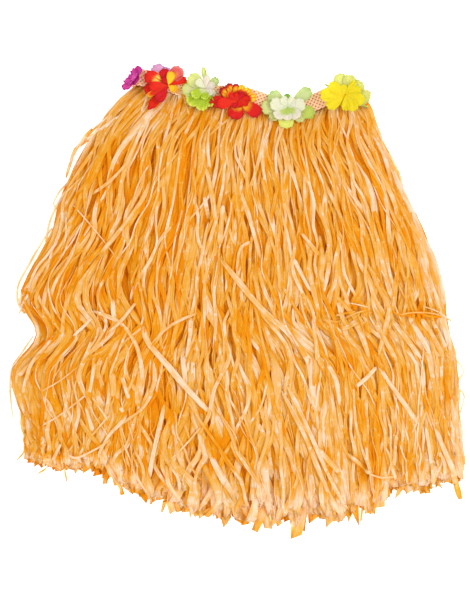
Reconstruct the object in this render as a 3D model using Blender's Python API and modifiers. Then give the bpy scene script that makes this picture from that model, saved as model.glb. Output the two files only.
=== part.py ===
"""A raffia hula skirt with fabric flowers on its waistband, laid flat on its back.

The skirt lies on the ground plane z = 0, its waist towards +Y and its front face up.
It is made of a plaited waistband that closes on itself, four rows of raffia strands
that hang from the band, the two mats that the hidden inner strands of the back and of
the front form, and seven fabric flowers pinned to the band.

Two numbers say where a point of the raffia is. "across" runs from 0 at the skirt's left
edge to 1 at its right, and "down" counts the rows of the table LIE, from 0 at the waist
to 8 at the hem.
"""

import math
import random
from typing import NamedTuple

import bmesh
import bpy
from mathutils import Matrix, Vector

MM = 0.001  # the sizes below are in millimetres, and the model is in metres

# Waistband: a plait of five rows, pressed flat, so that its back and front lie near each other.
BAND_HEIGHT = 22.0
BAND_THICK = 1.7
BAND_ROWS = 5
BAND_RIB = 0.9  # how far a row of the plait stands out of the band
BAND_BACK_Z = 4.9  # the inner face of the back run
BAND_FRONT_Z = 8.6  # the inner face of the front run
BAND_RUN_STEPS = 15
BAND_FOLD_STEPS = 3

# Raffia strands: a flat ribbon with a crease along its back.
STRAND_WIDTH = 9.2
STRAND_BASE = 0.9  # below its centreline
STRAND_RIDGE = 1.5  # above its centreline
ROOT_SCALE = 0.5  # a strand is gathered to this share of its size at the waist
FULL_WIDTH_ROW = 6.0  # the row of LIE from which a strand has its full size
STRIP_WIDTH = 5.0
STRIP_THICK = 1.4
ROOT_DEPTH = 1.75  # how far inside the strip a strand starts
SEAM_GAP = 0.4

# The raffia as a heap: its side and hem edges round down to the ground.
SIDE_ROUND = 45.0
HEM_ROUND = 60.0
WAIST_ROUND = 62.0
LAYER_GAP = 0.8
FOLD_ROW = 5  # the row of LIE where the skirt was once folded in two
FOLD_RISE = 0.13  # the share by which the strands stand higher there
SWAY_TURN = 1.7  # how far the strands' sideways wave turns from one row of LIE to the next
SHORTEST_BY = 0.28  # the shortest strand of a row ends this many rows of LIE before the hem
MAT_RIDGE = 1.1
MAT_DRIFT = 2.5
MAT_RAGGED = 0.12  # how much the mats' lower edge goes up and down, in rows of LIE
LEAST_MAT = 1.0  # the mats are nowhere thinner

# Flowers: petals cut from thin cloth, pressed into shape and pinned through the middle.
PETAL_THICK = 0.8
PETAL_RISE = 8.0  # how far a petal rises from the pin to BOWL_REACH
BOWL_REACH = 32.0
UPPER_STEEP = 0.2  # how much more the upper petals rise than the lower ones, for each mm outward
PETAL_RINGS = (0.0, 0.4, 0.75, 1.0)  # the shares of a petal's length at which it has points
SHOULDER_TURN = 0.3  # a petal's shoulders, as a share of the angle to the next petal
SHOULDER_REACH = 0.92  # and as a share of its length
VALLEY_REACH = 0.55  # how deep the petals part, as a share of the shorter one

RAFFIA_COLOUR = (0.87, 0.42, 0.09)
BAND_COLOUR = (0.85, 0.55, 0.33)


class Row(NamedTuple):
    """Where the raffia lies at one distance from the waist, at five places across it."""

    name: str
    x: tuple
    y: tuple


WAIST_LINE = (  # the band's middle line, from the left fold to the right one
    (-128, 288), (-93, 281), (-55, 268), (-18, 266), (20, 261),
    (58, 247), (96, 254), (133, 268), (168, 260),
)  # fmt: skip

LIE = (  # below the waist, whose own row follows WAIST_LINE
    Row("hip", x=(-193, -77, 7, 94, 185), y=(216, 213, 206, 206, 214)),
    Row("thigh", x=(-224, -90, 7, 107, 213), y=(154, 152, 150, 150, 154)),
    Row("middle", x=(-249, -105, 10, 123, 244), y=(81, 80, 80, 80, 81)),
    Row("bulge", x=(-285, -119, 12, 133, 268), y=(6, 8, 11, 11, 8)),
    Row("fold", x=(-265, -116, 19, 146, 275), y=(-44, -36, -28, -24, -28)),
    Row("knee", x=(-292, -137, 34, 167, 283), y=(-96, -90, -85, -80, -83)),
    Row("calf", x=(-292, -144, 47, 180, 288), y=(-151, -156, -158, -151, -148)),
    Row("hem", x=(-278, -148, 66, 190, 292), y=(-218, -256, -305, -272, -257)),
)
HEM = len(LIE)


class Layer(NamedTuple):
    """The height of a layer's underside: at the waist, at the outline and where the heap is full."""

    waist: float
    outline: float
    full: float


BACK_ROW = Layer(waist=2.4, outline=1.0, full=6.5)
FRONT_UNDER_ROW = Layer(waist=4.9, outline=5.4, full=14.6)
FRONT_TOP_ROW = Layer(waist=7.4, outline=8.8, full=18.0)
LOOSE_ROW = Layer(waist=9.9, outline=12.2, full=21.4)


class Petal(NamedTuple):
    """One petal of a flower: its direction in degrees, its length and how far its tip is lifted."""

    angle: float
    reach: float
    lift: float = 0.0


class Flower(NamedTuple):
    """A flower: its middle, the ways its face and its top point, its colour and its layers of petals."""

    name: str
    place: tuple
    faces: tuple
    top: tuple
    colour: tuple
    lower: tuple
    upper: tuple


UP, TO_WAIST = (0, 0, 1), (0, 1, 0)
ON_BAND = BAND_FRONT_Z + BAND_THICK + BAND_RIB
UNDER_BAND = 0.8
FLOWERS = (
    Flower(
        "flower_red_left", (-90, 277, ON_BAND), UP, TO_WAIST, (0.8, 0.03, 0.02),
        lower=(Petal(52, 28, 4), Petal(112, 20, 1), Petal(166, 30, 2), Petal(232, 40, 1), Petal(325, 12)),
        upper=(Petal(70, 18, 2), Petal(145, 17, 1), Petal(205, 22, 1), Petal(262, 19, 1), Petal(350, 10)),
    ),
    Flower(
        "flower_lime", (-41, 273, ON_BAND), UP, TO_WAIST, (0.45, 0.75, 0.08),
        lower=(
            Petal(38, 21, 3), Petal(97, 26, 5), Petal(158, 28, 1), Petal(206, 26, 1),
            Petal(234, 31), Petal(268, 28, 3), Petal(318, 13),
        ),
        upper=(
            Petal(20, 12, 1), Petal(80, 14, 2), Petal(140, 18, 1), Petal(215, 19, 1), Petal(290, 15, 1),
        ),
    ),
    Flower(
        "flower_red_centre", (1, 257, ON_BAND), UP, TO_WAIST, (0.8, 0.03, 0.02),
        lower=(
            Petal(35, 22, 1), Petal(88, 22, 2), Petal(142, 27, 1),
            Petal(190, 30), Petal(262, 25, 1), Petal(325, 30),
        ),
        upper=(
            Petal(15, 15, 2), Petal(75, 16, 2), Petal(145, 19, 2), Petal(215, 19, 2), Petal(290, 17, 2),
        ),
    ),
    Flower(
        "flower_pale", (65, 248, ON_BAND), UP, TO_WAIST, (0.7, 0.85, 0.5),
        lower=(
            Petal(45, 34, 4), Petal(92, 17, 2), Petal(150, 31, 2),
            Petal(199, 34, 1), Petal(268, 26), Petal(340, 34, 1),
        ),
        upper=(
            Petal(20, 20, 1), Petal(78, 13, 2), Petal(165, 20, 1), Petal(232, 21, 1), Petal(300, 20, 1),
        ),
    ),
    Flower(
        "flower_yellow", (140, 265, ON_BAND), UP, TO_WAIST, (0.9, 0.85, 0.03),
        lower=(Petal(35, 32, 3), Petal(95, 29, 5), Petal(172, 15), Petal(262, 14), Petal(345, 33)),
        upper=(
            Petal(52, 23, 1), Petal(128, 17, 1), Petal(187, 33, 2),
            Petal(236, 29, 2), Petal(292, 22, 3), Petal(345, 24, 2),
        ),
    ),
    Flower(
        "flower_purple", (-133.3, 286.9, 8.4), (-0.74, 0.6, 0.3), UP, (0.3, 0.0, 0.28),
        lower=(Petal(12, 20, 2), Petal(88, 19, 1), Petal(168, 17, 2), Petal(228, 8, 1), Petal(306, 8, 1)),
        upper=(
            Petal(50, 12, 1), Petal(120, 12, 1), Petal(196, 10, 1), Petal(268, 6, 1), Petal(340, 10, 1),
        ),
    ),
    Flower(
        "flower_lilac", (-98, 284, UNDER_BAND), UP, TO_WAIST, (0.6, 0.4, 0.6),
        lower=(Petal(2, 15), Petal(46, 24, 3), Petal(92, 20, 5), Petal(136, 24), Petal(180, 15)),
        upper=(),
    ),
)  # fmt: skip
PRESSED_FLAT = 0.75  # the share of its petals' length over which the band presses the lilac flower


def clear_scene():
    """Removes every object that the file holds."""
    for obj in list(bpy.data.objects):
        bpy.data.objects.remove(obj)


def make_collection(name):
    """A new collection of the scene."""
    made = bpy.data.collections.new(name)
    bpy.context.scene.collection.children.link(made)
    return made


def make_material(name, colour, roughness):
    """A Principled material of one colour."""
    material = bpy.data.materials.new(name)
    material.use_nodes = True
    shader = material.node_tree.nodes["Principled BSDF"]
    shader.inputs["Base Color"].default_value = (*colour, 1.0)
    shader.inputs["Roughness"].default_value = roughness
    shader.inputs["Metallic"].default_value = 0.0
    return material


def add_object(name, data, collection, material=None):
    """An object for this mesh or curve, in a collection."""
    obj = bpy.data.objects.new(name, data)
    collection.objects.link(obj)
    if material:
        data.materials.append(material)
    return obj


def ease(share):
    """0 up to 0, 1 from 1 on, and a smooth step between."""
    share = min(1.0, max(0.0, share))
    return share * share * (3.0 - 2.0 * share)


def smooth_through(values, place):
    """The value at place, counted in steps, on a smooth curve through evenly spaced values."""
    last = len(values) - 1
    step = min(last - 1, max(0, math.floor(place)))
    t = place - step
    before = values[step - 1] if step > 0 else 2 * values[0] - values[1]
    after = values[step + 2] if step + 2 <= last else 2 * values[last] - values[last - 1]
    here, there = values[step], values[step + 1]
    slope_here, slope_there = (there - before) / 2, (after - here) / 2
    return (
        here
        + slope_here * t
        + (3 * (there - here) - 2 * slope_here - slope_there) * t**2
        + (2 * (here - there) + slope_here + slope_there) * t**3
    )


def waist_point(across):
    """The band's middle line, and the direction of its height there, towards its upper edge."""
    steps = len(WAIST_LINE) - 1

    def at(share):
        return Vector(
            (
                smooth_through([p[0] for p in WAIST_LINE], share * steps),
                smooth_through([p[1] for p in WAIST_LINE], share * steps),
                0.0,
            )
        )

    along = (at(across + 0.01) - at(across - 0.01)).normalized()
    return at(across), Vector((-along.y, along.x, 0.0))


def waist_root(across):
    """The point just under the band's lower edge where a strand starts."""
    middle, upward = waist_point(min(1.0, max(0.0, across)))
    return middle - upward * (BAND_HEIGHT / 2 + SEAM_GAP)


def row_point(across, row):
    """Where the raffia lies in plan, at this place across one row of the table."""
    if row == 0:
        return waist_root(across)
    here = LIE[row - 1]
    return Vector(
        (smooth_through(here.x, across * 4), smooth_through(here.y, across * 4), 0.0)
    )


def row_width(down):
    """How wide the skirt is, this many rows down."""
    row = min(HEM - 1, int(down))
    widths = [(row_point(1.0, r) - row_point(0.0, r)).length for r in (row, row + 1)]
    return widths[0] + (widths[1] - widths[0]) * (down - row)


def heap(across, row):
    """How full the heap is: 1 well inside the skirt, and 0 at its side and hem edges."""
    inward = row_width(row) * min(across, 1.0 - across) / SIDE_ROUND
    side = math.sin(math.pi / 2 * min(1.0, max(0.0, inward)))
    hem = ease((row_point(across, row) - row_point(across, HEM)).length / HEM_ROUND)
    return side * hem * (1.0 + (FOLD_RISE if row == FOLD_ROW else 0.0))


def row_height(layer, across, row):
    """The height of a layer's underside at this place across one row of the table."""
    lying = layer.outline + (layer.full - layer.outline) * heap(across, row)
    from_waist = (row_point(across, row) - waist_root(across)).length
    return layer.waist + (lying - layer.waist) * ease(from_waist / WAIST_ROUND)


def lie(layer, across, down):
    """Where a layer's underside is: straight from each row of the table to the next."""
    row = min(HEM - 1, int(down))
    ends = []
    for r in (row, row + 1):
        end = row_point(across, r)
        end.z = row_height(layer, min(1.0, max(0.0, across)), r)
        ends.append(end)
    return ends[0].lerp(ends[1], down - row)


def side_slope(layer, across, down):
    """The angle at which a layer's underside climbs from left to right."""
    across = min(0.99, max(0.01, across))
    step = lie(layer, across + 0.01, down) - lie(layer, across - 0.01, down)
    return math.atan2(step.z, step.xy.length)


def mapped_grid(name, columns, rows, place):
    """A grid primitive whose point (i, j) goes to place(i, j), and whose points that meet are one."""
    bm = bmesh.new()
    bmesh.ops.create_grid(bm, x_segments=columns, y_segments=rows, size=0.5)
    for vert in bm.verts:
        i = round((vert.co.x + 0.5) * columns)
        j = round((vert.co.y + 0.5) * rows)
        vert.co = Vector(place(i, j)) * MM
    bmesh.ops.remove_doubles(bm, verts=bm.verts, dist=0.01 * MM)
    bmesh.ops.recalc_face_normals(bm, faces=bm.faces)
    mesh = bpy.data.meshes.new(name)
    bm.to_mesh(mesh)
    bm.free()
    return mesh


def make_band(collection, material):
    """The waistband: one closed loop, with the rows of its plait raised on its outer side."""
    rib_points = [
        (
            BAND_HEIGHT * (k / (2 * BAND_ROWS) - 0.5),
            BAND_THICK + (BAND_RIB if k % 2 else 0.0),
        )
        for k in range(2 * BAND_ROWS + 1)
    ]
    section = rib_points + [(BAND_HEIGHT / 2, 0.0), (-BAND_HEIGHT / 2, 0.0)]
    middle_z = (BAND_BACK_Z + BAND_FRONT_Z) / 2
    bend = (BAND_FRONT_Z - BAND_BACK_Z) / 2
    run = [k / (BAND_RUN_STEPS - 1) for k in range(BAND_RUN_STEPS)]
    turns = [-math.pi * k / (BAND_FOLD_STEPS + 1) for k in range(1, BAND_FOLD_STEPS + 1)]
    stations = [(across, 0.0) for across in run]  # the front, with the outer side up
    stations += [(1.0, turn) for turn in turns]
    stations += [(across, -math.pi) for across in reversed(run)]  # the back, facing down
    stations += [(0.0, turn - math.pi) for turn in turns]

    def place(i, j):
        across, turn = stations[i % len(stations)]
        tall, out = section[j % len(section)]
        middle, upward = waist_point(across)
        along = Vector((upward.y, -upward.x, 0.0))
        facing = along * -math.sin(turn) + Vector((0.0, 0.0, math.cos(turn)))
        return middle + upward * tall + facing * (bend + out) + Vector((0, 0, middle_z))

    mesh = mapped_grid("waistband", len(stations), len(section), place)
    return add_object("waistband", mesh, collection, material)


def profile_curve(name, corners, collection):
    """A closed outline that a curve takes as its cross-section."""
    curve = bpy.data.curves.new(name, "CURVE")
    curve.dimensions = "2D"
    spline = curve.splines.new("POLY")
    spline.points.add(len(corners) - 1)
    for point, corner in zip(spline.points, corners):
        point.co = (corner[0] * MM, corner[1] * MM, 0.0, 1.0)
    spline.use_cyclic_u = True
    helper = add_object(name, curve, collection)
    helper.hide_render = True
    return helper


def swept(name, paths, profile, collection):
    """One mesh that holds a ribbon along each path, a list of (place, scale, tilt), with closed ends."""
    curve = bpy.data.curves.new(name, "CURVE")
    curve.dimensions = "3D"
    curve.twist_mode = "Z_UP"
    curve.bevel_mode = "OBJECT"
    curve.bevel_object = profile
    curve.use_fill_caps = True
    for path in paths:
        spline = curve.splines.new("POLY")
        spline.points.add(len(path) - 1)
        for point, (place, scale, tilt) in zip(spline.points, path):
            point.co = (*(place * MM), 1.0)
            point.radius = scale
            point.tilt = tilt
    guide = add_object(name + "_guide", curve, collection)
    bpy.context.view_layer.update()
    graph = bpy.context.evaluated_depsgraph_get()
    mesh = bpy.data.meshes.new_from_object(guide.evaluated_get(graph))
    mesh.name = name
    bpy.data.objects.remove(guide)
    bm = bmesh.new()
    bm.from_mesh(mesh)
    bmesh.ops.remove_doubles(bm, verts=bm.verts, dist=0.001 * MM)
    bmesh.ops.recalc_face_normals(bm, faces=bm.faces)
    bm.to_mesh(mesh)
    bm.free()
    mesh.materials.clear()
    return mesh


def strand_path(layer, home, drift, end):
    """A strand's points (place, scale, tilt): home is its place across, drift(down) its wander in mm."""
    path = []
    for down in [float(row) for row in range(HEM)] + [end]:
        across = home + drift(down) / row_width(down)
        scale = ROOT_SCALE + (1.0 - ROOT_SCALE) * ease(down / FULL_WIDTH_ROW)
        place = lie(layer, across, down)
        place.z += STRAND_BASE * scale
        path.append((place, scale, side_slope(layer, across, down) * ease(down)))
    return path


def make_row(name, layer, count, sway, seed, collection, helpers, material):
    """A row of strands side by side, fused at their tops into one narrow strip."""
    chance = random.Random(seed)
    wave = chance.uniform(2.2, 3.2)
    paths = []
    for k in range(count):
        home = (k + 0.5 + chance.uniform(-0.1, 0.1)) / count
        phase, own = math.tau * wave * home, chance.uniform(-0.5, 0.5)

        def drift(down, phase=phase, own=own):
            return ease(down / 2) * (sway * math.sin(phase + SWAY_TURN * down) + own)

        end = HEM - chance.uniform(0.0, SHORTEST_BY)
        paths.append(strand_path(layer, home, drift, end))
    return fused_row(name, layer, paths, collection, helpers, material)


def fused_row(name, layer, paths, collection, helpers, material):
    """One solid of these strands and of the strip along the waist that their tops end in."""
    ribbon = profile_curve(
        name + "_section",
        (
            (-STRAND_WIDTH / 2, -STRAND_BASE),
            (STRAND_WIDTH / 2, -STRAND_BASE),
            (0.0, STRAND_RIDGE),
        ),
        helpers,
    )
    bar = profile_curve(
        name + "_bar",
        (
            (-STRIP_WIDTH / 2, -STRIP_THICK / 2),
            (STRIP_WIDTH / 2, -STRIP_THICK / 2),
            (STRIP_WIDTH / 2, STRIP_THICK / 2),
            (-STRIP_WIDTH / 2, STRIP_THICK / 2),
        ),
        helpers,
    )
    strip_z = layer.waist + STRAND_BASE * ROOT_SCALE
    strip_path = []
    for k in range(BAND_RUN_STEPS):
        middle, upward = waist_point(k / (BAND_RUN_STEPS - 1))
        below = BAND_HEIGHT / 2 + SEAM_GAP + STRIP_WIDTH / 2
        strip_path.append((middle - upward * below + Vector((0, 0, strip_z)), 1.0, 0.0))
    inset = Vector((0.0, -ROOT_DEPTH, 0.0))
    for path in paths:
        path[0] = (path[0][0] + inset, *path[0][1:])
    strands = add_object(
        name + "_strands", swept(name + "_strands", paths, ribbon, helpers), helpers
    )
    strands.hide_render = True
    strands.display_type = "WIRE"
    row = add_object(name, swept(name, [strip_path], bar, helpers), collection, material)
    join = row.modifiers.new("strands", "BOOLEAN")
    join.operation = "UNION"
    join.object = strands
    join.solver = "EXACT"
    join.use_self = True
    return row


class Stray(NamedTuple):
    """A loose strand that lies over the others: its place across at every second row, from the waist."""

    waist: float
    thigh: float
    bulge: float
    knee: float
    hem: float


STRAYS = (
    Stray(0.020, 0.030, -0.004, -0.006, 0.004),
    Stray(0.070, 0.055, 0.150, 0.095, 0.040),
    Stray(0.130, 0.160, 0.215, 0.190, 0.110),
    Stray(0.205, 0.235, 0.260, 0.240, 0.200),
    Stray(0.270, 0.300, 0.285, 0.300, 0.345),
    Stray(0.345, 0.335, 0.360, 0.395, 0.455),
    Stray(0.410, 0.400, 0.430, 0.470, 0.515),
    Stray(0.480, 0.450, 0.470, 0.535, 0.575),
    Stray(0.540, 0.560, 0.530, 0.580, 0.640),
    Stray(0.610, 0.640, 0.610, 0.655, 0.700),
    Stray(0.680, 0.690, 0.720, 0.690, 0.755),
    Stray(0.750, 0.760, 0.775, 0.760, 0.820),
    Stray(0.820, 0.800, 0.830, 0.860, 0.880),
    Stray(0.890, 0.905, 0.880, 0.930, 0.945),
    Stray(0.970, 0.975, 0.992, 1.017, 0.998),
)


def make_strays(collection, helpers, material):
    """The loose strands over the rest, fused to a strip of their own."""
    paths = []
    for k, stray in enumerate(STRAYS):
        end = HEM - SHORTEST_BY * (0.4 if k % 2 else 2.0)

        def drift(down, stray=stray):
            return (smooth_through(stray, down / 2) - stray.waist) * row_width(down)

        paths.append(strand_path(LOOSE_ROW, stray.waist, drift, end))
    return fused_row("raffia_loose", LOOSE_ROW, paths, collection, helpers, material)


def make_mat(name, ridges, inset, ends, seed, sides, collection, material):
    """The hidden inner strands of one side of the skirt, as one mat with a ridge for each lock.

    sides gives, for a place across and down, the points of the mat's top and underside.
    """
    chance = random.Random(seed)
    columns = 2 * ridges
    start, last = ends
    ragged = [chance.uniform(-MAT_RAGGED, MAT_RAGGED) for _ in range(columns + 1)]
    swing = math.tau * chance.uniform(1.5, 2.5)
    rows = [start, *range(1, HEM), last]

    def spot(i, j):
        down = rows[j] + (ragged[i] if rows[j] == last else 0.0)
        share = i / columns
        drift = MAT_DRIFT * math.sin(swing * share + down) * math.sin(math.pi * share)
        margin = inset / row_width(down)
        return margin + (1.0 - 2.0 * margin) * share + drift / row_width(down), down

    def place(side):
        def at(i, j):
            across, down = spot(i, j)
            top, underside = sides(across, down)
            if i % 2 == 0 and top.z - underside.z > 2 * MAT_RIDGE:
                top.z -= MAT_RIDGE
            return top if side else underside

        return at

    top = mapped_grid(name, columns, HEM, place(1))
    below = mapped_grid(name + "_below", columns, HEM, place(0))
    bm = bmesh.new()
    bm.from_mesh(top)
    bm.from_mesh(below)
    bpy.data.meshes.remove(below)
    rims = [e for e in bm.edges if e.is_boundary]
    bmesh.ops.bridge_loops(bm, edges=rims)
    bmesh.ops.recalc_face_normals(bm, faces=bm.faces)
    bm.to_mesh(top)
    bm.free()
    return add_object(name, top, collection, material)


def flatten_underside(mat):
    """Makes the faces that rest on the ground one flat face."""
    bm = bmesh.new()
    bm.from_mesh(mat.data)
    resting = [f for f in bm.faces if all(abs(v.co.z) < 0.001 * MM for v in f.verts)]
    bmesh.ops.dissolve_faces(bm, faces=resting, use_verts=False)
    bm.to_mesh(mat.data)
    bm.free()


def flower_outline(petals):
    """The rim of a layer of petals: (angle, reach, lift) at each valley, shoulder and tip, in turn."""
    rim = []
    for k, petal in enumerate(petals):
        following = petals[(k + 1) % len(petals)]
        gap = math.radians((following.angle - petal.angle) % 360)
        angle = math.radians(petal.angle)
        valley = VALLEY_REACH * min(petal.reach, following.reach)
        near, far = gap * SHOULDER_TURN, gap * (1.0 - SHOULDER_TURN)
        rim.append((angle, petal.reach, petal.lift))
        rim.append((angle + near, petal.reach * SHOULDER_REACH, petal.lift))
        rim.append((angle + gap / 2, valley, 0.0))
        rim.append((angle + far, following.reach * SHOULDER_REACH, following.lift))
    return rim


def bowl(radius):
    """How far a petal has risen at this distance from the pin."""
    return PETAL_RISE * (radius / BOWL_REACH) ** 0.7 if radius > 0 else 0.0


def make_petals(name, flower, petals, raised, steep, collection, material):
    """One layer of petals: a lobed sheet of cloth, pressed into a shallow bowl."""
    rim = flower_outline(petals)

    def place(i, j):
        angle, reach, lift = rim[i % len(rim)]
        share = PETAL_RINGS[j]
        radius = share * reach
        if flower.place[2] == UNDER_BAND:
            rise = lift * max(0.0, share - PRESSED_FLAT) / (1.0 - PRESSED_FLAT)
        else:
            rise = bowl(radius) + steep * radius + lift * share**2
        return radius * math.cos(angle), radius * math.sin(angle), rise + raised

    mesh = mapped_grid(name, len(rim), len(PETAL_RINGS) - 1, place)
    if sum(face.normal.z for face in mesh.polygons) < 0:
        mesh.flip_normals()
    mesh.transform(facing_frame(flower))
    layer = add_object(name, mesh, collection, material)
    cloth = layer.modifiers.new("cloth", "SOLIDIFY")
    cloth.thickness = PETAL_THICK * MM
    cloth.offset = 1.0
    return layer


def facing_frame(flower):
    """The matrix from a flower's own axes, its face along +Z and its top along +Y, to the skirt's."""
    face = Vector(flower.faces).normalized()
    side = Vector(flower.top).cross(face).normalized()
    axes = Matrix((side, face.cross(side), face)).transposed()
    return Matrix.Translation(Vector(flower.place) * MM) @ axes.to_4x4()


def make_flower(flower, collection):
    """A flower: its lower petals and the smaller ones that stand steeper inside them."""
    cloth = make_material(flower.name + "_cloth", flower.colour, 0.6)
    make_petals(flower.name, flower, flower.lower, 0.0, 0.0, collection, cloth)
    if flower.upper:
        raised = PETAL_THICK + SEAM_GAP
        name = flower.name + "_upper"
        make_petals(name, flower, flower.upper, raised, UPPER_STEEP, collection, cloth)


def main():
    clear_scene()
    skirt = make_collection("raffia_skirt")
    helpers = make_collection("helpers")
    raffia = make_material("raffia", RAFFIA_COLOUR, 0.45)
    plait = make_material("raffia_plait", BAND_COLOUR, 0.6)
    make_band(skirt, plait)

    def back_sides(across, down):
        """The back mat lies on the ground, under the back row of strands."""
        top = lie(BACK_ROW, across, down)
        top.z = max(LEAST_MAT, top.z - LAYER_GAP)
        return top, Vector((top.x, top.y, 0.0))

    def front_sides(across, down):
        """The front mat is between the back row of strands and the front ones."""
        top = lie(FRONT_UNDER_ROW, across, down)
        under = lie(BACK_ROW, across, down)
        top.z -= LAYER_GAP
        under.z += STRAND_BASE + STRAND_RIDGE + LAYER_GAP
        return top, under

    back = make_mat("back_mat", 26, 10.5, (0.3, 7.72), 11, back_sides, skirt, raffia)
    flatten_underside(back)
    make_mat("front_mat", 27, 15.0, (0.55, 7.62), 12, front_sides, skirt, raffia)
    make_row("raffia_back", BACK_ROW, 40, 2.5, 21, skirt, helpers, raffia)
    make_row("raffia_front_under", FRONT_UNDER_ROW, 40, 2.5, 22, skirt, helpers, raffia)
    make_row("raffia_front_top", FRONT_TOP_ROW, 38, 3.5, 23, skirt, helpers, raffia)
    make_strays(skirt, helpers, raffia)
    for flower in FLOWERS:
        make_flower(flower, skirt)


main()
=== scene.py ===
"""The looks of a raffia hula skirt that is laid flat with its front up.

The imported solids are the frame. Sizes here are in millimetres in the frame's axes: x to the
right, y towards the waist and z up from the ground. "Across" is a share from the skirt's left
side, 0, to its right side, 1, and "down" is a share from the waistband, 0, to the hem, 1.
"""

import logging
import math
from collections.abc import Sequence
from dataclasses import dataclass, field
from enum import Enum
from functools import partial

import bpy
import numpy as np
from mathutils import Matrix, Vector


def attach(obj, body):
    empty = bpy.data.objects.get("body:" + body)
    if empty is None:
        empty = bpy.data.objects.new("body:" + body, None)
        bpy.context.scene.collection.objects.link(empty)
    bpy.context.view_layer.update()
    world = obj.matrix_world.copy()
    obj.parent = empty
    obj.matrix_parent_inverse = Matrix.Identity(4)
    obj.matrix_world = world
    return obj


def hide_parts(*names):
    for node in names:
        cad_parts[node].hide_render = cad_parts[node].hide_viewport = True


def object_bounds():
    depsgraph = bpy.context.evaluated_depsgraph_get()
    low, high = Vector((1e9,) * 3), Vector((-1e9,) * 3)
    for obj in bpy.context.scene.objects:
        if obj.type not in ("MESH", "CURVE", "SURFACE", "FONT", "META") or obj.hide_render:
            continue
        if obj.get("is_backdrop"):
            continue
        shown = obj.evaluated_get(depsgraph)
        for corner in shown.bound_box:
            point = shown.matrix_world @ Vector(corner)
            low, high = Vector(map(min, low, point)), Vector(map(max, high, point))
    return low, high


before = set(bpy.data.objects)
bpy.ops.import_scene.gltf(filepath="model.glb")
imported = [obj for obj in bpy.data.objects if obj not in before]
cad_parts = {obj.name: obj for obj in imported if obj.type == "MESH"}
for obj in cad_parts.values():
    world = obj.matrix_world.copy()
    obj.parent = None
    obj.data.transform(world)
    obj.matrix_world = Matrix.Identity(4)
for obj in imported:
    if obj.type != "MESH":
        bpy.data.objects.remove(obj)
CAD_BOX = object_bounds()

log = logging.getLogger("raffia_skirt")

MM = 0.001
BODY = "root"


# ---------------------------------------------------------------- small helpers


def linear(colour: str) -> tuple[float, float, float, float]:
    """Turn an sRGB hex colour into a linear one.

    Args:
        colour: The colour as "#rrggbb".

    Returns:
        Red, green, blue and an alpha of 1.
    """
    shares = [int(colour[k : k + 2], 16) / 255 for k in (1, 3, 5)]
    red, green, blue = (
        s / 12.92 if s <= 0.04045 else ((s + 0.055) / 1.055) ** 2.4 for s in shares
    )
    return red, green, blue, 1.0


def ease(share: np.ndarray | float) -> np.ndarray:
    """Return 0 up to 0, 1 from 1 on, and a smooth step between."""
    share = np.clip(share, 0.0, 1.0)
    return share * share * (3.0 - 2.0 * share)


def smooth_through(values: np.ndarray, place: np.ndarray) -> np.ndarray:
    """Follow a smooth curve through evenly spaced values.

    Args:
        values: The values, one in each row.
        place: Places on the curve, counted in steps from the first value.

    Returns:
        One row of values for each place.
    """
    last = len(values) - 1
    step = np.clip(np.floor(place).astype(int), 0, last - 1)
    t = (place - step)[:, None]
    padded = np.vstack([2 * values[0] - values[1], values, 2 * values[-1] - values[-2]])
    before, here, there, after = (padded[step + k] for k in range(4))
    slope_here, slope_there = (there - before) / 2, (after - here) / 2
    return (
        here
        + slope_here * t
        + (3 * (there - here) - 2 * slope_here - slope_there) * t**2
        + (2 * (here - there) + slope_here + slope_there) * t**3
    )


def waves(rng: np.random.Generator, along: np.ndarray, lengths: Sequence[float]) -> np.ndarray:
    """Add up a few slow waves of random phase, as a ribbon's crinkle does.

    Args:
        rng: The source of the phases.
        along: Distances along the ribbon.
        lengths: The mean length of each wave; each is varied by a quarter.

    Returns:
        The sum, from about -1 to 1.
    """
    total = np.zeros_like(along)
    for length in lengths:
        turn = 2 * math.pi * along / (length * rng.uniform(0.75, 1.25))
        total += np.sin(turn + rng.uniform(0, 2 * math.pi))
    return total / math.sqrt(len(lengths))


def crumples(rng: np.random.Generator, along: np.ndarray, apart: float) -> np.ndarray:
    """Bend a ribbon by small sharp kinks.

    Args:
        rng: The source of the kinks.
        along: Distances along the ribbon.
        apart: The mean distance between kinks.

    Returns:
        A sideways shift, mostly from -1 to 1, with straight stretches between its kinks.
    """
    count = max(3, int((along[-1] - along[0]) / apart) + 2)
    places = np.linspace(along[0], along[-1], count)
    places[1:-1] += rng.uniform(-0.4, 0.4, count - 2) * apart
    return np.interp(along, places, rng.normal(0, 0.7, count))


def deselect() -> None:
    """Leave nothing selected, so that an operator acts on the new piece alone."""
    for thing in bpy.context.selected_objects:
        thing.select_set(False)


def build_mesh(
    name: str, points: np.ndarray, faces: list, uv: tuple[str, np.ndarray], **values: np.ndarray
) -> bpy.types.Mesh:
    """Make a smooth mesh with its own UV map and attributes.

    Args:
        name: The mesh's name.
        points: Its points, in mm.
        faces: The numbers of each face's points.
        uv: The UV map's name, and each point's place on it, in mm.
        **values: For each attribute's name, a number or a colour for each point.

    Returns:
        The mesh, in metres.
    """
    mesh = bpy.data.meshes.new(name)
    mesh.from_pydata((points.reshape(-1, 3) * MM).tolist(), [], faces)
    corners = np.empty(len(mesh.loops), np.int32)
    mesh.loops.foreach_get("vertex_index", corners)
    where = uv[1].reshape(-1, 2)[corners] * MM
    mesh.uv_layers.new(name=uv[0]).uv.foreach_set("vector", where.ravel().astype(np.float32))
    for key, value in values.items():
        coloured = value.size > len(mesh.vertices)
        kind, part = ("FLOAT_COLOR", "color") if coloured else ("FLOAT", "value")
        data = mesh.attributes.new(key, kind, "POINT").data
        data.foreach_set(part, value.ravel().astype(np.float32))
    mesh.polygons.foreach_set("use_smooth", np.ones(len(mesh.polygons), bool))
    mesh.update()
    return mesh


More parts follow.
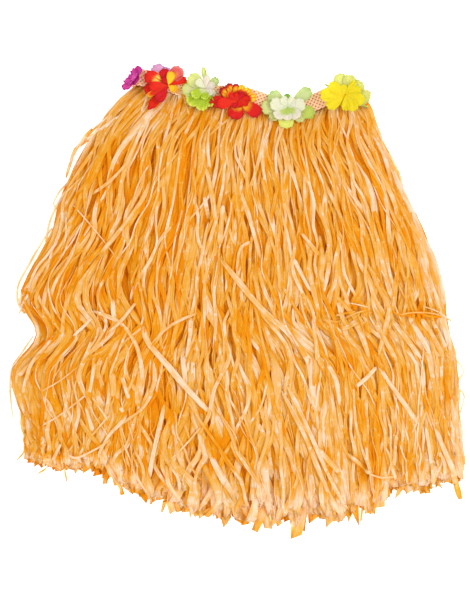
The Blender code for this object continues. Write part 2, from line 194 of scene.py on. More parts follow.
def add_piece(
    name: str, mesh: bpy.types.Mesh, slot: str, nodes: Sequence[str]
) -> bpy.types.Object:
    """Put a finished mesh in the scene, on the skirt's body.

    Args:
        name: The piece's name.
        mesh: Its mesh, in place, in metres.
        slot: The record's material slot that it is finished from. It is not used.
        nodes: The solids that it stands for.

    Returns:
        The new object.
    """
    piece = bpy.data.objects.new(name, mesh)
    bpy.context.scene.collection.objects.link(piece)
    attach(piece, BODY)
    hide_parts(*nodes)
    log.info("%s: %d faces", name, len(mesh.polygons))
    return piece


def apply_modifier(piece: bpy.types.Object, kind: str, **settings: object) -> None:
    """Add a modifier to a piece and apply it.

    Args:
        piece: The piece.
        kind: The modifier's type.
        **settings: The modifier's settings.
    """
    deselect()
    piece.select_set(True)
    bpy.context.view_layer.objects.active = piece
    modifier = piece.modifiers.new(kind.lower(), kind)
    for key, value in settings.items():
        setattr(modifier, key, value)
    bpy.ops.object.modifier_apply(modifier=modifier.name)


# ---------------------------------------------------------------- finishes


def add_node(
    material: bpy.types.Material,
    kind: str,
    links: dict | None = None,
    out: int | str = 0,
    **settings: object,
) -> bpy.types.NodeSocket | None:
    """Add a shader node with its settings and links.

    Args:
        material: The material that the node is for.
        kind: The node's type without its "ShaderNode", such as "Bump".
        links: For each input's name or number, the output that feeds it.
        out: The name or number of the output that is wanted.
        **settings: The node's properties, or values for inputs, whose names have their
            spaces as underscores and start with "in_".

    Returns:
        The wanted output, or None where the node has no outputs.
    """
    tree = material.node_tree
    node = tree.nodes.new("ShaderNode" + kind)
    for key, value in settings.items():
        if key.startswith("in_"):
            name = key[3:].replace("_", " ")
            node.inputs[int(name) if name.isdigit() else name].default_value = value
        elif key == "stops":
            ramp = node.color_ramp
            while len(ramp.elements) < len(value):
                ramp.elements.new(0.5)
            for element, (place, colour) in zip(ramp.elements, value):
                element.position = place
                element.color = linear(colour)
        else:
            setattr(node, key, value)
    for name, output in (links or {}).items():
        tree.links.new(output, node.inputs[name])
    return node.outputs[out] if node.outputs else None


def new_material(name: str) -> bpy.types.Material:
    """Make an empty node material.

    Args:
        name: The material's name.

    Returns:
        The material, without any node.
    """
    material = bpy.data.materials.new(name)
    material.use_nodes = True
    material.node_tree.nodes.clear()
    return material


def close_surface(
    material: bpy.types.Material,
    surface: bpy.types.NodeSocket,
    through: dict | None = None,
    share: float = 0.0,
) -> bpy.types.Material:
    """Join a surface shader to the output, with some light coming through the sheet.

    Args:
        material: The material.
        surface: Its Principled shader's output.
        through: None, or the colour and normal of the light that comes through.
        share: The share of the light that comes through.

    Returns:
        The finished material.
    """
    if through:
        behind = add_node(material, "BsdfTranslucent", through)
        surface = add_node(material, "MixShader", {1: surface, 2: behind}, in_0=share)
    add_node(material, "OutputMaterial", {"Surface": surface})
    return material


@dataclass(frozen=True)
class RaffiaFinish:
    """Dyed raffia: the split skin of a palm leaf.

    It is satin rather than matt, and its fibres run lengthwise, so that each ribbon is
    streaked with fine lighter and darker lines. Small pale spots in its tint are painted
    highlights.
    The dye takes unevenly: some ribbons are deep orange and others nearly cream.
    """

    name: str = "raffia_dyed"
    tones: tuple = (
        (0.0, "#ed9a00"),
        (0.25, "#ebaa10"),
        (0.5, "#ecbf52"),
        (0.78, "#efcf8e"),
        (1.0, "#f2e6cf"),
    )
    fibre_mm: float = 1.7  # real fibres are about 0.3 mm apart; this coarse, they just show
    fibre_length: float = 12.0  # times its width
    blotch_mm: float = 26.0
    # painted highlights: small pale spots in the tint, about this far apart
    painted_glint_mm: float = 6.0
    fibre_change: float = 1.25  # what each pattern adds to the tint
    blotch_change: float = 0.6
    painted_glint_change: float = 0.34
    balance: float = -0.94  # takes the patterns' mean off again
    bump: float = 0.5
    bump_depth: float = 1.2 * MM
    roughness: float = 0.45
    ior: float = 1.18  # most of the gloss of a fibrous skin is scattered
    translucency: float = 0.46
    painted_glow_colour: str = "#ff8a10"  # painted glow: the ribbons give off a faint orange light, which lightens their shade
    painted_glow_strength: float = 0.08
    hem_painted_glow: float = 0.09  # more painted glow near the hem, to lighten its shade

    def make(self) -> bpy.types.Material:
        """Build the material, whose fibres follow the ribbons' own UV map.

        Returns:
            The finished material.
        """
        material = new_material(self.name)
        add = partial(add_node, material)
        place = add("UVMap", uv_map="ribbon")
        tint, hem = (
            add("Attribute", out="Fac", attribute_name=name)
            for name in ("tint", "hem")
        )
        patterns = []
        for across, lengthwise, detail in (
            (1000 / self.fibre_mm, 1000 / (self.fibre_mm * self.fibre_length), 3.0),
            (300 / self.blotch_mm, 1000 / self.blotch_mm, 2.0),
            (600 / self.painted_glint_mm, 1000 / self.painted_glint_mm, 3.0),
        ):
            scale = (across, lengthwise, 1.0)
            spread = add("Mapping", {"Vector": place}, in_Scale=scale)
            patterns.append(
                add("TexNoise", {"Vector": spread}, in_Scale=1.0, in_Detail=detail)
            )
        fibres, blotches, painted_glint_noise = patterns
        # painted highlights: the pattern's peaks make the tint paler
        painted_glint = add("MapRange", {"Value": painted_glint_noise}, in_1=0.58, in_2=0.72, in_4=self.painted_glint_change)
        streak = add(
            "Math", {0: fibres, 2: painted_glint}, operation="MULTIPLY_ADD", in_1=self.fibre_change
        )
        blotch = add(
            "Math", {0: blotches}, operation="MULTIPLY_ADD", in_1=self.blotch_change,
            in_2=self.balance,
        )
        both = add("Math", {0: streak, 1: blotch}, operation="ADD")
        shade = add("Math", {0: tint, 1: both}, operation="ADD")
        colour = add("ValToRGB", {"Fac": shade}, stops=self.tones)
        bump = add("Bump", {"Height": fibres}, in_Strength=self.bump, in_Distance=self.bump_depth)
        # painted glow: the ribbons give off light, more of it near the hem
        painted_glow = add(
            "Math", {0: hem}, operation="MULTIPLY_ADD", in_1=self.hem_painted_glow,
            in_2=self.painted_glow_strength,
        )
        shader = add(
            "BsdfPrincipled",
            {"Base Color": colour, "Normal": bump, "Emission Strength": painted_glow},
            in_Roughness=self.roughness, in_IOR=self.ior,
            in_Emission_Color=linear(self.painted_glow_colour),
        )
        return close_surface(
            material, shader, {"Color": colour, "Normal": bump}, self.translucency
        )


@dataclass(frozen=True)
class PlaitFinish:
    """Plaited raffia, undyed and matt: salmon strips, with painted shade in the holes where they
    cross.
    """

    name: str = "raffia_plaited"
    tones: tuple = ((0.25, "#984a1e"), (0.55, "#e09c68"), (0.95, "#f4cfa8"))  # painted shade in the holes, up to the pale ridges
    fibre_mm: float = 0.9  # drawn coarser than the real 0.3 mm so that it shows
    wear: float = 0.4
    bump: float = 0.4
    bump_depth: float = 0.4 * MM
    roughness: float = 0.55

    def make(self) -> bpy.types.Material:
        """Build the material, which reads how high the plait is from the mesh and paints the low
        places darker as shade.

        Returns:
            The finished material.
        """
        material = new_material(self.name)
        add = partial(add_node, material)
        place = add("UVMap", uv_map="plait")
        high = add("Attribute", out="Fac", attribute_name="high")
        noise = add("TexNoise", {"Vector": place}, in_Scale=1000 / self.fibre_mm, in_Detail=3.0)
        worn = add(
            "Math", {0: noise}, operation="MULTIPLY_ADD", in_1=self.wear, in_2=-self.wear / 2
        )
        level = add("Math", {0: high, 1: worn}, operation="ADD")
        colour = add("ValToRGB", {"Fac": level}, stops=self.tones)
        bump = add("Bump", {"Height": noise}, in_Strength=self.bump, in_Distance=self.bump_depth)
        shader = add(
            "BsdfPrincipled", {"Base Color": colour, "Normal": bump}, in_Roughness=self.roughness,
            in_IOR=1.5,
        )
        return close_surface(material, shader)


@dataclass(frozen=True)
class PetalFinish:
    """Thin woven polyester, printed and heat-set.

    The print is brightest in the middle of a petal. The cloth has a soft sheen at its
    edges, lets light through, and shows its threads as a faint grain.
    """

    name: str
    speckle: str
    speckle_scale: float = 420.0  # about 2.4 mm, as the print's dots run together
    speckle_share: float = 0.12
    thread_mm: float = 0.8  # real threads are about 0.25 mm apart; this coarse, they just show
    bump: float = 0.35
    bump_depth: float = 0.3 * MM
    roughness: float = 0.6
    ior: float = 1.35
    sheen: float = 0.1
    translucency: float = 0.42

    def make(self) -> bpy.types.Material:
        """Build the material, whose print is the mesh's own dye colours.

        Returns:
            The finished material.
        """
        material = new_material(self.name)
        add = partial(add_node, material)
        place = add("UVMap", uv_map="cloth")
        dye = add("Attribute", attribute_name="dye")
        threads, speckles = (
            add("TexNoise", {"Vector": place}, in_Scale=scale, in_Detail=detail)
            for scale, detail in ((1000 / self.thread_mm, 2.0), (self.speckle_scale, 3.0))
        )
        spots = add(
            "MapRange", {"Value": speckles}, in_1=0.52, in_2=0.68, in_4=self.speckle_share
        )
        colour = add(
            "Mix", {0: spots, 6: dye}, out=2, data_type="RGBA", in_7=linear(self.speckle)
        )
        bump = add(
            "Bump", {"Height": threads}, in_Strength=self.bump, in_Distance=self.bump_depth
        )
        shader = add(
            "BsdfPrincipled", {"Base Color": colour, "Normal": bump}, in_Roughness=self.roughness,
            in_IOR=self.ior, in_Sheen_Weight=self.sheen, in_Sheen_Roughness=0.4,
        )
        return close_surface(
            material, shader, {"Color": colour, "Normal": bump}, self.translucency
        )


@dataclass(frozen=True)
class GroundFinish:
    """Matt white paper, as a studio sweep: lit from behind too, so that no shadow shows."""

    name: str = "studio_ground"
    colour: str = "#f7f7f7"
    glow: float = 0.8

    def make(self) -> bpy.types.Material:
        """Build the material, with a faint mottle in its roughness.

        Returns:
            The finished material.
        """
        material = new_material(self.name)
        add = partial(add_node, material)
        place = add("TexCoord", out="Object")
        mottle = add("TexNoise", {"Vector": place}, in_Scale=30.0, in_Detail=2.0)
        rough = add("MapRange", {"Value": mottle}, in_3=0.8, in_4=0.95)
        shader = add(
            "BsdfPrincipled", {"Roughness": rough}, in_Base_Color=linear(self.colour),
            in_Emission_Color=(1.0, 1.0, 1.0, 1.0), in_Emission_Strength=self.glow,
            in_Specular_IOR_Level=0.2,
        )
        return close_surface(material, shader)


# ---------------------------------------------------------------- how the skirt lies

BAND_HEIGHT = 22.0
BAND_TOP = 11.7  # above the ground
SEAM_GAP = 0.4  # between the band and the raffia that is sewn to it
PETAL_THICK = 0.35
PETAL_CLEAR = 0.4  # the least height of a petal above the ground
WAIST_LINE = (  # the middle of the band's height, from its left fold to its right one
    (-128, 288), (-93, 281), (-55, 268), (-18, 266), (20, 261),
    (58, 247), (96, 254), (133, 268), (168, 260),
)


@dataclass(frozen=True)
class Row:
    """Where the raffia lies along one line across the skirt.

    x and y are at the left side, the first quarter, the middle, the third quarter and the
    right side.
    """

    name: str
    x: tuple[float, ...]
    y: tuple[float, ...]


ROWS = (
    Row("yoke", (-163, -66, 13, 96, 177), (251, 236, 230, 227, 237)),
    Row("hip", (-189, -77, 7, 94, 185), (217, 213, 206, 206, 214)),
    Row("thigh", (-224, -90, 7, 107, 213), (154, 152, 150, 150, 154)),
    Row("middle", (-245, -105, 10, 123, 247), (81, 80, 80, 80, 81)),
    Row("bulge", (-286, -119, 12, 133, 271), (-2, 6, 11, 11, 8)),
    Row("fold", (-265, -116, 19, 146, 275), (-44, -36, -28, -24, -28)),
    Row("knee", (-296, -137, 34, 167, 286), (-96, -90, -85, -80, -83)),
    Row("calf", (-281, -144, 47, 180, 289), (-156, -156, -158, -151, -148)),
    Row("hem", (-278, -148, 66, 190, 296), (-218, -256, -305, -272, -257)),
)
FOLD = 6  # the fold's place among the rows, counted from the waist
HEM_CUT = (  # how far down the raffia reaches, at shares across
    (0, 0.942), (0.07, 0.934), (0.106, 0.943), (0.14, 0.918), (0.21, 0.873), (0.245, 0.945),
    (0.268, 0.936), (0.29, 0.977), (0.32, 0.936), (0.352, 0.997), (0.375, 0.934), (0.396, 0.975),
    (0.418, 0.98), (0.44, 0.953), (0.465, 0.908), (0.505, 0.973), (0.54, 0.918), (0.6, 0.97),
    (0.65, 0.961), (0.688, 0.957), (0.725, 0.987), (0.765, 0.915), (0.85, 0.953), (0.898, 0.931),
    (0.94, 0.928), (1.0, 0.912),
)


class Lie:
    """The way the raffia fans out, is pressed into a fold, and falls to the hem."""

    columns: int = 96
    levels: int = 180
    raffia_mm: float = 555.0
    side_start: float = 0.14  # how far down the sides begin to fade
    fold_right_mm: float = -25.0  # how far the fold pushes the raffia at the right
    fold_left_mm: float = 12.0
    band_reach: float = 15.0  # from the band's middle to where nothing touches it

    def __init__(self) -> None:
        """Work out the smooth grid of places once."""
        across = np.linspace(0, 1, self.columns + 1)
        rows = [self.waist_roots(across)]
        for row in ROWS:
            values = np.array([row.x, row.y], float).T
            rows.append(smooth_through(values, across * 4))
        middle = np.array([row[self.columns // 2, 1] for row in rows])
        self.knots = (middle[0] - middle) / (middle[0] - middle[-1])
        self.grid = self._follow(np.array(rows), np.linspace(0, 1, self.levels + 1))
        self.widths = np.linalg.norm(self.grid[:, -1] - self.grid[:, 0], axis=1)

    def band(self, across: np.ndarray) -> tuple[np.ndarray, np.ndarray]:
        """Find the band's middle line.

        Args:
            across: Shares across.

        Returns:
            The line's points, and the direction of the band's height, towards its top.
        """
        line = np.array(WAIST_LINE, float)
        steps = len(line) - 1
        step = smooth_through(line, (across + 0.01) * steps)
        step -= smooth_through(line, (across - 0.01) * steps)
        step /= np.linalg.norm(step, axis=1)[:, None]
        upward = np.stack([-step[:, 1], step[:, 0]], axis=1)
        return smooth_through(line, across * steps), upward

    def waist_roots(self, across: np.ndarray) -> np.ndarray:
        """Return the points just under the band's lower edge where ribbons start."""
        middle, upward = self.band(across)
        return middle - upward * (BAND_HEIGHT / 2 + SEAM_GAP)

    def _follow(self, rows: np.ndarray, down: np.ndarray) -> np.ndarray:
        """Run smoothly from row to row, for every column at once.

        Args:
            rows: The points of the known rows, from the waist to the hem.
            down: The shares down that are wanted.

        Returns:
            The points of one row for each share down.
        """
        slopes = np.empty_like(rows)
        gaps = np.diff(self.knots)[:, None, None]
        steps = np.diff(rows, axis=0) / gaps
        slopes[1:-1] = (steps[:-1] * gaps[1:] + steps[1:] * gaps[:-1]) / (gaps[1:] + gaps[:-1])
        slopes[0], slopes[-1] = steps[0], steps[-1]
        k = np.clip(np.searchsorted(self.knots, down, "right") - 1, 0, len(rows) - 2)
        gap = (self.knots[k + 1] - self.knots[k])[:, None, None]
        t = ((down - self.knots[k])[:, None, None]) / gap
        return (
            rows[k] * (2 * t**3 - 3 * t**2 + 1)
            + slopes[k] * gap * (t**3 - 2 * t**2 + t)
            + rows[k + 1] * (3 * t**2 - 2 * t**3)
            + slopes[k + 1] * gap * (t**3 - t**2)
        )

    def at(self, across: np.ndarray, down: np.ndarray) -> np.ndarray:
        """Find places in plan, running straight on past the edges.

        Args:
            across: Shares across.
            down: Shares down, as many.

        Returns:
            Their x and y.
        """
        i = np.clip((down * self.levels).astype(int), 0, self.levels - 1)
        j = np.clip((across * self.columns).astype(int), 0, self.columns - 1)
        s = (down * self.levels - i)[..., None]
        t = (across * self.columns - j)[..., None]
        g = self.grid
        return (1 - s) * ((1 - t) * g[i, j] + t * g[i, j + 1]) + s * (
            (1 - t) * g[i + 1, j] + t * g[i + 1, j + 1]
        )

    def width(self, down: np.ndarray) -> np.ndarray:
        """Return how wide the skirt is at each share down."""
        return np.interp(down, np.linspace(0, 1, self.levels + 1), self.widths)

    def hem(self, across: np.ndarray | float) -> np.ndarray:
        """Return how far down the raffia reaches at each share across."""
        cut = np.array(HEM_CUT)
        return np.interp(across, cut[:, 0], cut[:, 1])

    def near_side(self, across: np.ndarray, down: np.ndarray, reach: float = 26.0) -> np.ndarray:
        """Tell the sides of the skirt from the rest of it.

        Args:
            across: Shares across.
            down: Shares down, as many.
            reach: How wide the sides are.

        Returns:
            1 at the sides, and 0 well inside, near the waist and at the hem.
        """
        inside = self.width(down) * np.minimum(across, 1 - across)
        shown = ease(down / self.side_start) * (1 - self.near_hem(across, down))
        return ease(1 - inside / reach) * shown

    def near_hem(self, across: np.ndarray, down: np.ndarray, reach: float = 28.0) -> np.ndarray:
        """Return 1 at the hem and 0 well above it."""
        return ease(1 - (self.hem(across) - down) * self.raffia_mm / reach)

    def fold(self, across: np.ndarray) -> np.ndarray:
        """Return how far down the pressed fold is at each share across."""
        uneven = 0.004 * np.sin(23 * across) + 0.003 * np.sin(61 * across + 1)
        return self.knots[FOLD] + uneven

    def tucked(self, across: np.ndarray) -> np.ndarray:
        """Return how sharply the fold is pressed: it is sharpest in the right half."""
        return ease((across - 0.45) / 0.2)

    def kink(self, home: float, down: np.ndarray) -> np.ndarray:
        """Return how far, in mm, the fold pushes the raffia to the left or right.

        Args:
            home: The share across where the ribbon starts.
            down: The shares down.

        Returns:
            The shift at each share down.
        """
        past = down - self.fold(np.array(home))
        slant = np.where(past < 0, np.clip(1 + past / 0.1, 0, 1) ** 1.6, 1 - past / 0.075)
        slant = np.maximum(slant, -0.3 * np.exp(-((past - 0.1) / 0.05) ** 2))
        right = self.fold_right_mm * self.tucked(np.array(home)) * ease((0.99 - home) / 0.08)
        left = self.fold_left_mm * ease((0.26 - home) / 0.1) * ease(home / 0.03)
        return right * slant + left * np.exp(-np.abs(past) / 0.035)

    def over_band(self, paths: np.ndarray) -> np.ndarray:
        """Find how high ribbons have to be to clear the waistband.

        Args:
            paths: Places in plan.

        Returns:
            The least height at each place, which is 0 beside the band.
        """
        line, _ = self.band(np.linspace(0, 1, 61))
        gaps = np.linalg.norm(paths[..., None, :] - line, axis=-1).min(-1)
        return BAND_TOP * ease((self.band_reach - gaps) / 4.0)

    def find(self, places: np.ndarray) -> tuple[np.ndarray, np.ndarray]:
        """Find the nearest shares across and down.

        Args:
            places: Places in plan.

        Returns:
            The shares across and the shares down.
        """
        flat = self.grid.reshape(-1, 2)
        gaps = ((places[:, None, :] - flat[None]) ** 2).sum(2)
        i, j = np.divmod(gaps.argmin(1), self.columns + 1)
        return j / self.columns, i / self.levels


@dataclass
class Heap:
    """How thick the laid skirt is: thin at the waistband and edges, full in the middle."""

    lie: Lie
    waist: float = 9.0
    outline: float = 6.5
    full: float = 20.5
    waist_round: float = 62.0
    side_round: float = 45.0
    hem_round: float = 60.0
    fold_rise: float = 0.16  # shares of the height, as fold_dip is
    fold_dip: float = 0.3

    def top(self, across: np.ndarray, down: np.ndarray) -> np.ndarray:
        """Find the height of the pile's top.

        Args:
            across: Shares across.
            down: Shares down, as many.

        Returns:
            The height at each place.
        """
        across = np.clip(across, 0, 1)
        inward = self.lie.width(down) * np.minimum(across, 1 - across) / self.side_round
        side = np.sin(math.pi / 2 * np.clip(inward, 0, 1))
        hem = ease((1 - down) * self.lie.raffia_mm / self.hem_round)
        level = self.lie.fold(across)
        rise = self.fold_rise * np.exp(-(((down - level + 0.03) / 0.035) ** 2))
        dip = self.fold_dip * ease((down - level) / 0.008) * ease(1.4 - (down - level) / 0.05)
        fold = rise - dip * (0.25 + 0.75 * self.lie.tucked(across))
        lying = self.outline + (self.full - self.outline) * side * hem * (1 + fold)
        start = ease(down * self.lie.raffia_mm / self.waist_round)
        return self.waist + (lying - self.waist) * start


@dataclass(frozen=True)
class Patch:
    """A stretch of the skirt where the dye took deeper, below 0, or paler."""

    place: tuple[float, float]
    reach: float
    change: float


PATCHES = (
    Patch((-60, -85), 28.0, 0.28),
    Patch((-25, -20), 26.0, -0.24),
    Patch((195, 85), 36.0, -0.24),
    Patch((-100, -150), 28.0, -0.16),
    Patch((-25, -200), 26.0, -0.2),
    Patch((35, -250), 34.0, 0.26),
    Patch((270, -190), 36.0, 0.26),
    Patch((-105, -55), 28.0, -0.16),
    Patch((-135, 115), 30.0, -0.16),
    Patch((-210, 20), 40.0, -0.14),
)


@dataclass(frozen=True)
class Drift:
    """Slow random differences of the dye all over the skirt, besides the patches."""

    seed: int = 91
    waves: int = 24
    shortest: float = 55.0
    longest: float = 170.0
    change: float = 0.0105

    def at(self, places: np.ndarray) -> np.ndarray:
        """Find how much paler the raffia is.

        Args:
            places: Places in plan.

        Returns:
            The change of tint at each place, below 0 where it is deeper.
        """
        rng = np.random.default_rng(self.seed)
        change = np.zeros(places.shape[:-1])
        for _ in range(self.waves):
            wave = 2 * math.pi / rng.uniform(self.shortest, self.longest)
            turn = rng.uniform(0, 2 * math.pi)
            along = places[..., 0] * math.cos(turn) + places[..., 1] * math.sin(turn)
            change += self.change * np.cos(wave * along + rng.uniform(0, 2 * math.pi))
        return change


def dye_change(places: np.ndarray) -> np.ndarray:
    """Add up the drift and the patches of the dye.

    Args:
        places: Places in plan.

    Returns:
        The change of tint at each place, below 0 where the dye is deeper.
    """
    change = Drift().at(places)
    for patch in PATCHES:
        gap = np.linalg.norm(places - np.array(patch.place), axis=-1)
        change += patch.change * np.exp(-((gap / patch.reach) ** 2))
    return change


class Pile:
    """The top of what has been laid down so far, as heights on a fine grid."""

    cell: float = 2.0
    corner: tuple[float, float] = (-330.0, -345.0)
    size: tuple[int, int] = (330, 330)
    bridging: int = 8  # rounds of averaging, by which a ribbon spans a hollow
    fineness: int = 5  # steps from one station to the next

    def __init__(self) -> None:
        """Start with the bare ground."""
        self.heights = np.zeros(self.size)

    def cells(self, places: np.ndarray) -> tuple[np.ndarray, np.ndarray]:
        """Find the grid cells under places in plan.

        Args:
            places: The places.

        Returns:
            The cells' numbers along x and along y.
        """
        i = ((places[..., 0] - self.corner[0]) / self.cell).astype(int)
        j = ((places[..., 1] - self.corner[1]) / self.cell).astype(int)
        return np.clip(i, 0, self.size[0] - 1), np.clip(j, 0, self.size[1] - 1)

    def lay(
        self, path: np.ndarray, half: np.ndarray, lift: np.ndarray, thick: float
    ) -> np.ndarray:
        """Lay one springy ribbon on the pile.

        Args:
            path: Its middle line in plan.
            half: Half its width at each point.
            lift: How far it springs up at each point.
            thick: How much it adds to the pile.

        Returns:
            The height of its middle line.
        """
        along = np.gradient(path, axis=0)
        along /= np.linalg.norm(along, axis=1)[:, None]
        side = np.stack([along[:, 1], -along[:, 0]], axis=1) * half[:, None]
        ground = np.max([self.heights[self.cells(path + side * k)] for k in (-0.6, 0, 0.6)], 0)
        height = ground.copy()
        for _ in range(self.bridging):
            height[1:-1] = np.maximum(
                ground[1:-1], (height[:-2] + 2 * height[1:-1] + height[2:]) / 4
            )
        height = height + lift
        fine = np.linspace(0, len(path) - 1, self.fineness * len(path))
        k = np.minimum(fine.astype(int), len(path) - 2)
        t = (fine - k)[:, None]
        centre = path[k] * (1 - t) + path[k + 1] * t
        reach = side[k] * (1 - t) + side[k + 1] * t
        level = height[k] * (1 - t[:, 0]) + height[k + 1] * t[:, 0] + thick
        for share in (-0.9, -0.45, 0, 0.45, 0.9):
            np.maximum.at(self.heights, self.cells(centre + reach * share), level)
        return height

    def smoothed(self, reach: int = 7, rounds: int = 3, least: float = 0.02) -> np.ndarray:
        """Return the heights with the ribbons' own steps averaged away.

        Args:
            reach: How many cells to each side are averaged.
            rounds: How often.
            least: The least share of the cells to divide by. With 1 the bare ground counts
                as a height of 0, so that the heights fall off towards the outline.

        Returns:
            The averaged heights.
        """
        covered = (self.heights > 0).astype(float)
        kernel = np.ones(2 * reach + 1) / (2 * reach + 1)
        sums = [self.heights, covered]
        for _ in range(rounds):
            for axis in (0, 1):
                sums = [np.apply_along_axis(np.convolve, axis, m, kernel, "same") for m in sums]
        return sums[0] / np.maximum(sums[1], least)


# ---------------------------------------------------------------- ribbons of raffia


@dataclass
class Ribbons:
    """Many ribbons that have the same number of stations, on their way to one mesh.

    A ribbon's section is a line of points from its left edge over its creases to its right
    edge, and one point below, so that it is closed and has no more faces than it needs.
    """

    name: str
    stations: int
    creases: int
    seed: int
    deeper: float = 0.35  # painted shade: what lies in full shade is so much deeper in tint
    shade_depth: float = 2.2  # how far below its neighbours a ribbon is in full shade
    painted_top_light: float = 0.35  # painted light: the most of that by which one above its neighbours is paler
    # painted shade: a ribbon is so much deeper in tint at its edges and on its underside
    edge: float = 0.12
    side_tone: float = 0.34
    # painted light: at the hem, what lies on top is so much paler
    hem_painted_top_light: float = 0.34
    hem_low_tone: float = 0.1
    hem_painted_shade: float = 0.2  # painted shade: how far below the palest tint what lies low at the hem stays
    hem_painted_shade_top: float = 0.12  # what lies on top there has so much less of that painted shade
    pressed: tuple[float, float] = (0.15, 1.5)  # the least and most that a height may change by
    underside: float = 0.06  # a ribbon's thickness under its lowest crease, by its half width
    clears_band: bool = False
    paths: list = field(default_factory=list)
    shares: list = field(default_factory=list)
    heights: list = field(default_factory=list)
    halves: list = field(default_factory=list)
    rolls: list = field(default_factory=list)
    tints: list = field(default_factory=list)
    sharpness: list = field(default_factory=list)
    hems: np.ndarray | None = None

    def add(self, pile: Pile, lie: Lie, path: np.ndarray, **made: object) -> None:
        """Lay a ribbon on the pile and keep it.

        Args:
            pile: What has been laid so far.
            lie: The way the skirt lies.
            path: The ribbon's middle line in plan.
            **made: half, lift, roll and shares at each station, and its tint, crease and
                thick.
        """
        self.heights.append(pile.lay(path, made["half"], made["lift"], made["thick"]))
        self.paths.append(path)
        self.halves.append(made["half"])
        self.rolls.append(made["roll"])
        self.tints.append(made["tint"])
        self.sharpness.append(made["crease"])
        self.shares.append(made["shares"] if "shares" in made else lie.find(path))

    def settle(self, heap: Heap, pile: Pile, smooth: np.ndarray, around: np.ndarray) -> None:
        """Press the whole pile to its thickness, which keeps what lies on what.

        What lies below its neighbours is also tinted deeper, as painted shade, and what lies
        above them paler, as painted light. What lies at the sides and at the hem is paler; at the
        hem what lies on top is paler still, as painted light, and what lies low is kept deeper,
        as painted shade.

        Args:
            heap: How thick the skirt is to be.
            pile: The loose pile.
            smooth: Its smoothed heights.
            around: Its heights averaged over the nearest ribbons.
        """
        across, down = (np.array([s[k] for s in self.shares]) for k in (0, 1))
        places, heights = np.array(self.paths), np.array(self.heights)
        cells = pile.cells(places)
        piled = np.maximum(smooth[cells], 1.0)
        painted_shade_share = np.clip((around[cells] - heights) / self.shade_depth, -self.painted_top_light, 1)
        on_top = ease(heights / piled / 0.7)
        self.hems = heap.lie.near_hem(across, down)
        tints = np.array(self.tints) - self.deeper * painted_shade_share + dye_change(places)
        tints += self.side_tone * heap.lie.near_side(across, down)
        # painted light on top at the hem, and painted shade that keeps what lies low deeper
        tints += self.hems * (self.hem_painted_top_light * on_top + self.hem_low_tone)
        self.tints = np.minimum(tints, 1 - self.hems * (self.hem_painted_shade - self.hem_painted_shade_top * on_top))
        self.heights = heights * np.clip(heap.top(across, down) / piled, *self.pressed)
        if self.clears_band:
            self.heights = np.maximum(self.heights, heap.lie.over_band(places))

    def mesh(self) -> bpy.types.Mesh:
        """Build the closed ribbons.

        Returns:
            One mesh, with fibre coordinates, tints and the nearness of the hem.
        """
        rng = np.random.default_rng(self.seed)
        count, n, k = len(self.paths), self.stations, self.creases + 3
        centre = np.concatenate([np.array(self.paths), self.heights[..., None]], axis=2)
        half, roll = np.array(self.halves), np.array(self.rolls)
        along = np.gradient(centre, axis=1)
        along /= np.linalg.norm(along, axis=2)[..., None]
        side = np.stack([along[..., 1], -along[..., 0], np.zeros((count, n))], axis=2)
        side /= np.linalg.norm(side, axis=2)[..., None]
        out = np.cross(side, along)
        turn = roll[..., None]
        side, out = (
            side * np.cos(turn) + out * np.sin(turn),
            out * np.cos(turn) - side * np.sin(turn),
        )
        spread, rise = self._section(rng, count)
        flex = 1 + 0.5 * np.array(
            [waves(rng, np.arange(n) * 12.0, (70.0, 150.0)) for _ in range(count)]
        )
        points = (
            centre[:, :, None]
            + side[:, :, None] * (half[..., None] * spread[:, None])[..., None]
            + out[:, :, None] * ((half * flex)[..., None] * rise[:, None])[..., None]
        )
        slant = rng.normal(0, 0.7, (count, 1)) * half[:, -1:] * spread
        points[:, -1] += along[:, -1, None] * slant[..., None]
        points[..., 2] += 0.1 - np.minimum(points[..., 2].min(axis=2, keepdims=True), 0.1)
        length = np.linalg.norm(np.diff(centre, axis=1), axis=2).cumsum(1)
        length = np.concatenate([np.zeros((count, 1)), length], axis=1)
        length += rng.uniform(0, 900, (count, 1))
        fibre = half[..., None] * spread[:, None] + rng.uniform(0, 500, (count, 1, 1))
        where = np.stack([fibre, length[..., None] + 0 * fibre], axis=3)
        # painted shade: deeper in tint towards the edges, and fully so on the underside
        rim = np.abs(spread) ** 3
        rim[:, -1] = 1.0
        tints = np.clip(self.tints[..., None] - self.edge * rim[:, None], 0.0, 1.0)
        hems = np.repeat(self.hems[..., None], k, axis=2)
        faces = self._faces(count, n, k)
        mesh = build_mesh(self.name, points, faces, ("ribbon", where), tint=tints, hem=hems)
        ends = np.empty(2 * len(mesh.edges), np.int32)
        mesh.edges.foreach_get("vertices", ends)
        lengthwise = np.abs(ends[::2] - ends[1::2]) == k
        mesh.attributes.new("sharp_edge", "BOOLEAN", "EDGE").data.foreach_set("value", lengthwise)
        return mesh

    def _section(self, rng: np.random.Generator, count: int) -> tuple[np.ndarray, np.ndarray]:
        """Choose every ribbon's section.

        Args:
            rng: The source of its unevenness.
            count: How many ribbons there are.

        Returns:
            How far each of its points is to the side and up, as shares of half the width.
        """
        crease = np.array(self.sharpness)[:, None]
        spread = np.linspace(-1, 1, self.creases + 2)[None] + np.zeros((count, 1))
        spread[:, 1:-1] += rng.uniform(-0.5, 0.5, (count, self.creases)) / (self.creases + 1)
        rise = np.zeros_like(spread)
        rise[:, 1:-1] = crease * rng.uniform(-0.6, 1.0, (count, self.creases))
        spread = np.concatenate([spread, spread[:, [self.creases // 2 + 1]] * 0.4], axis=1)
        rise = np.concatenate([rise, rise.min(1, keepdims=True) - self.underside], axis=1)
        return spread, rise

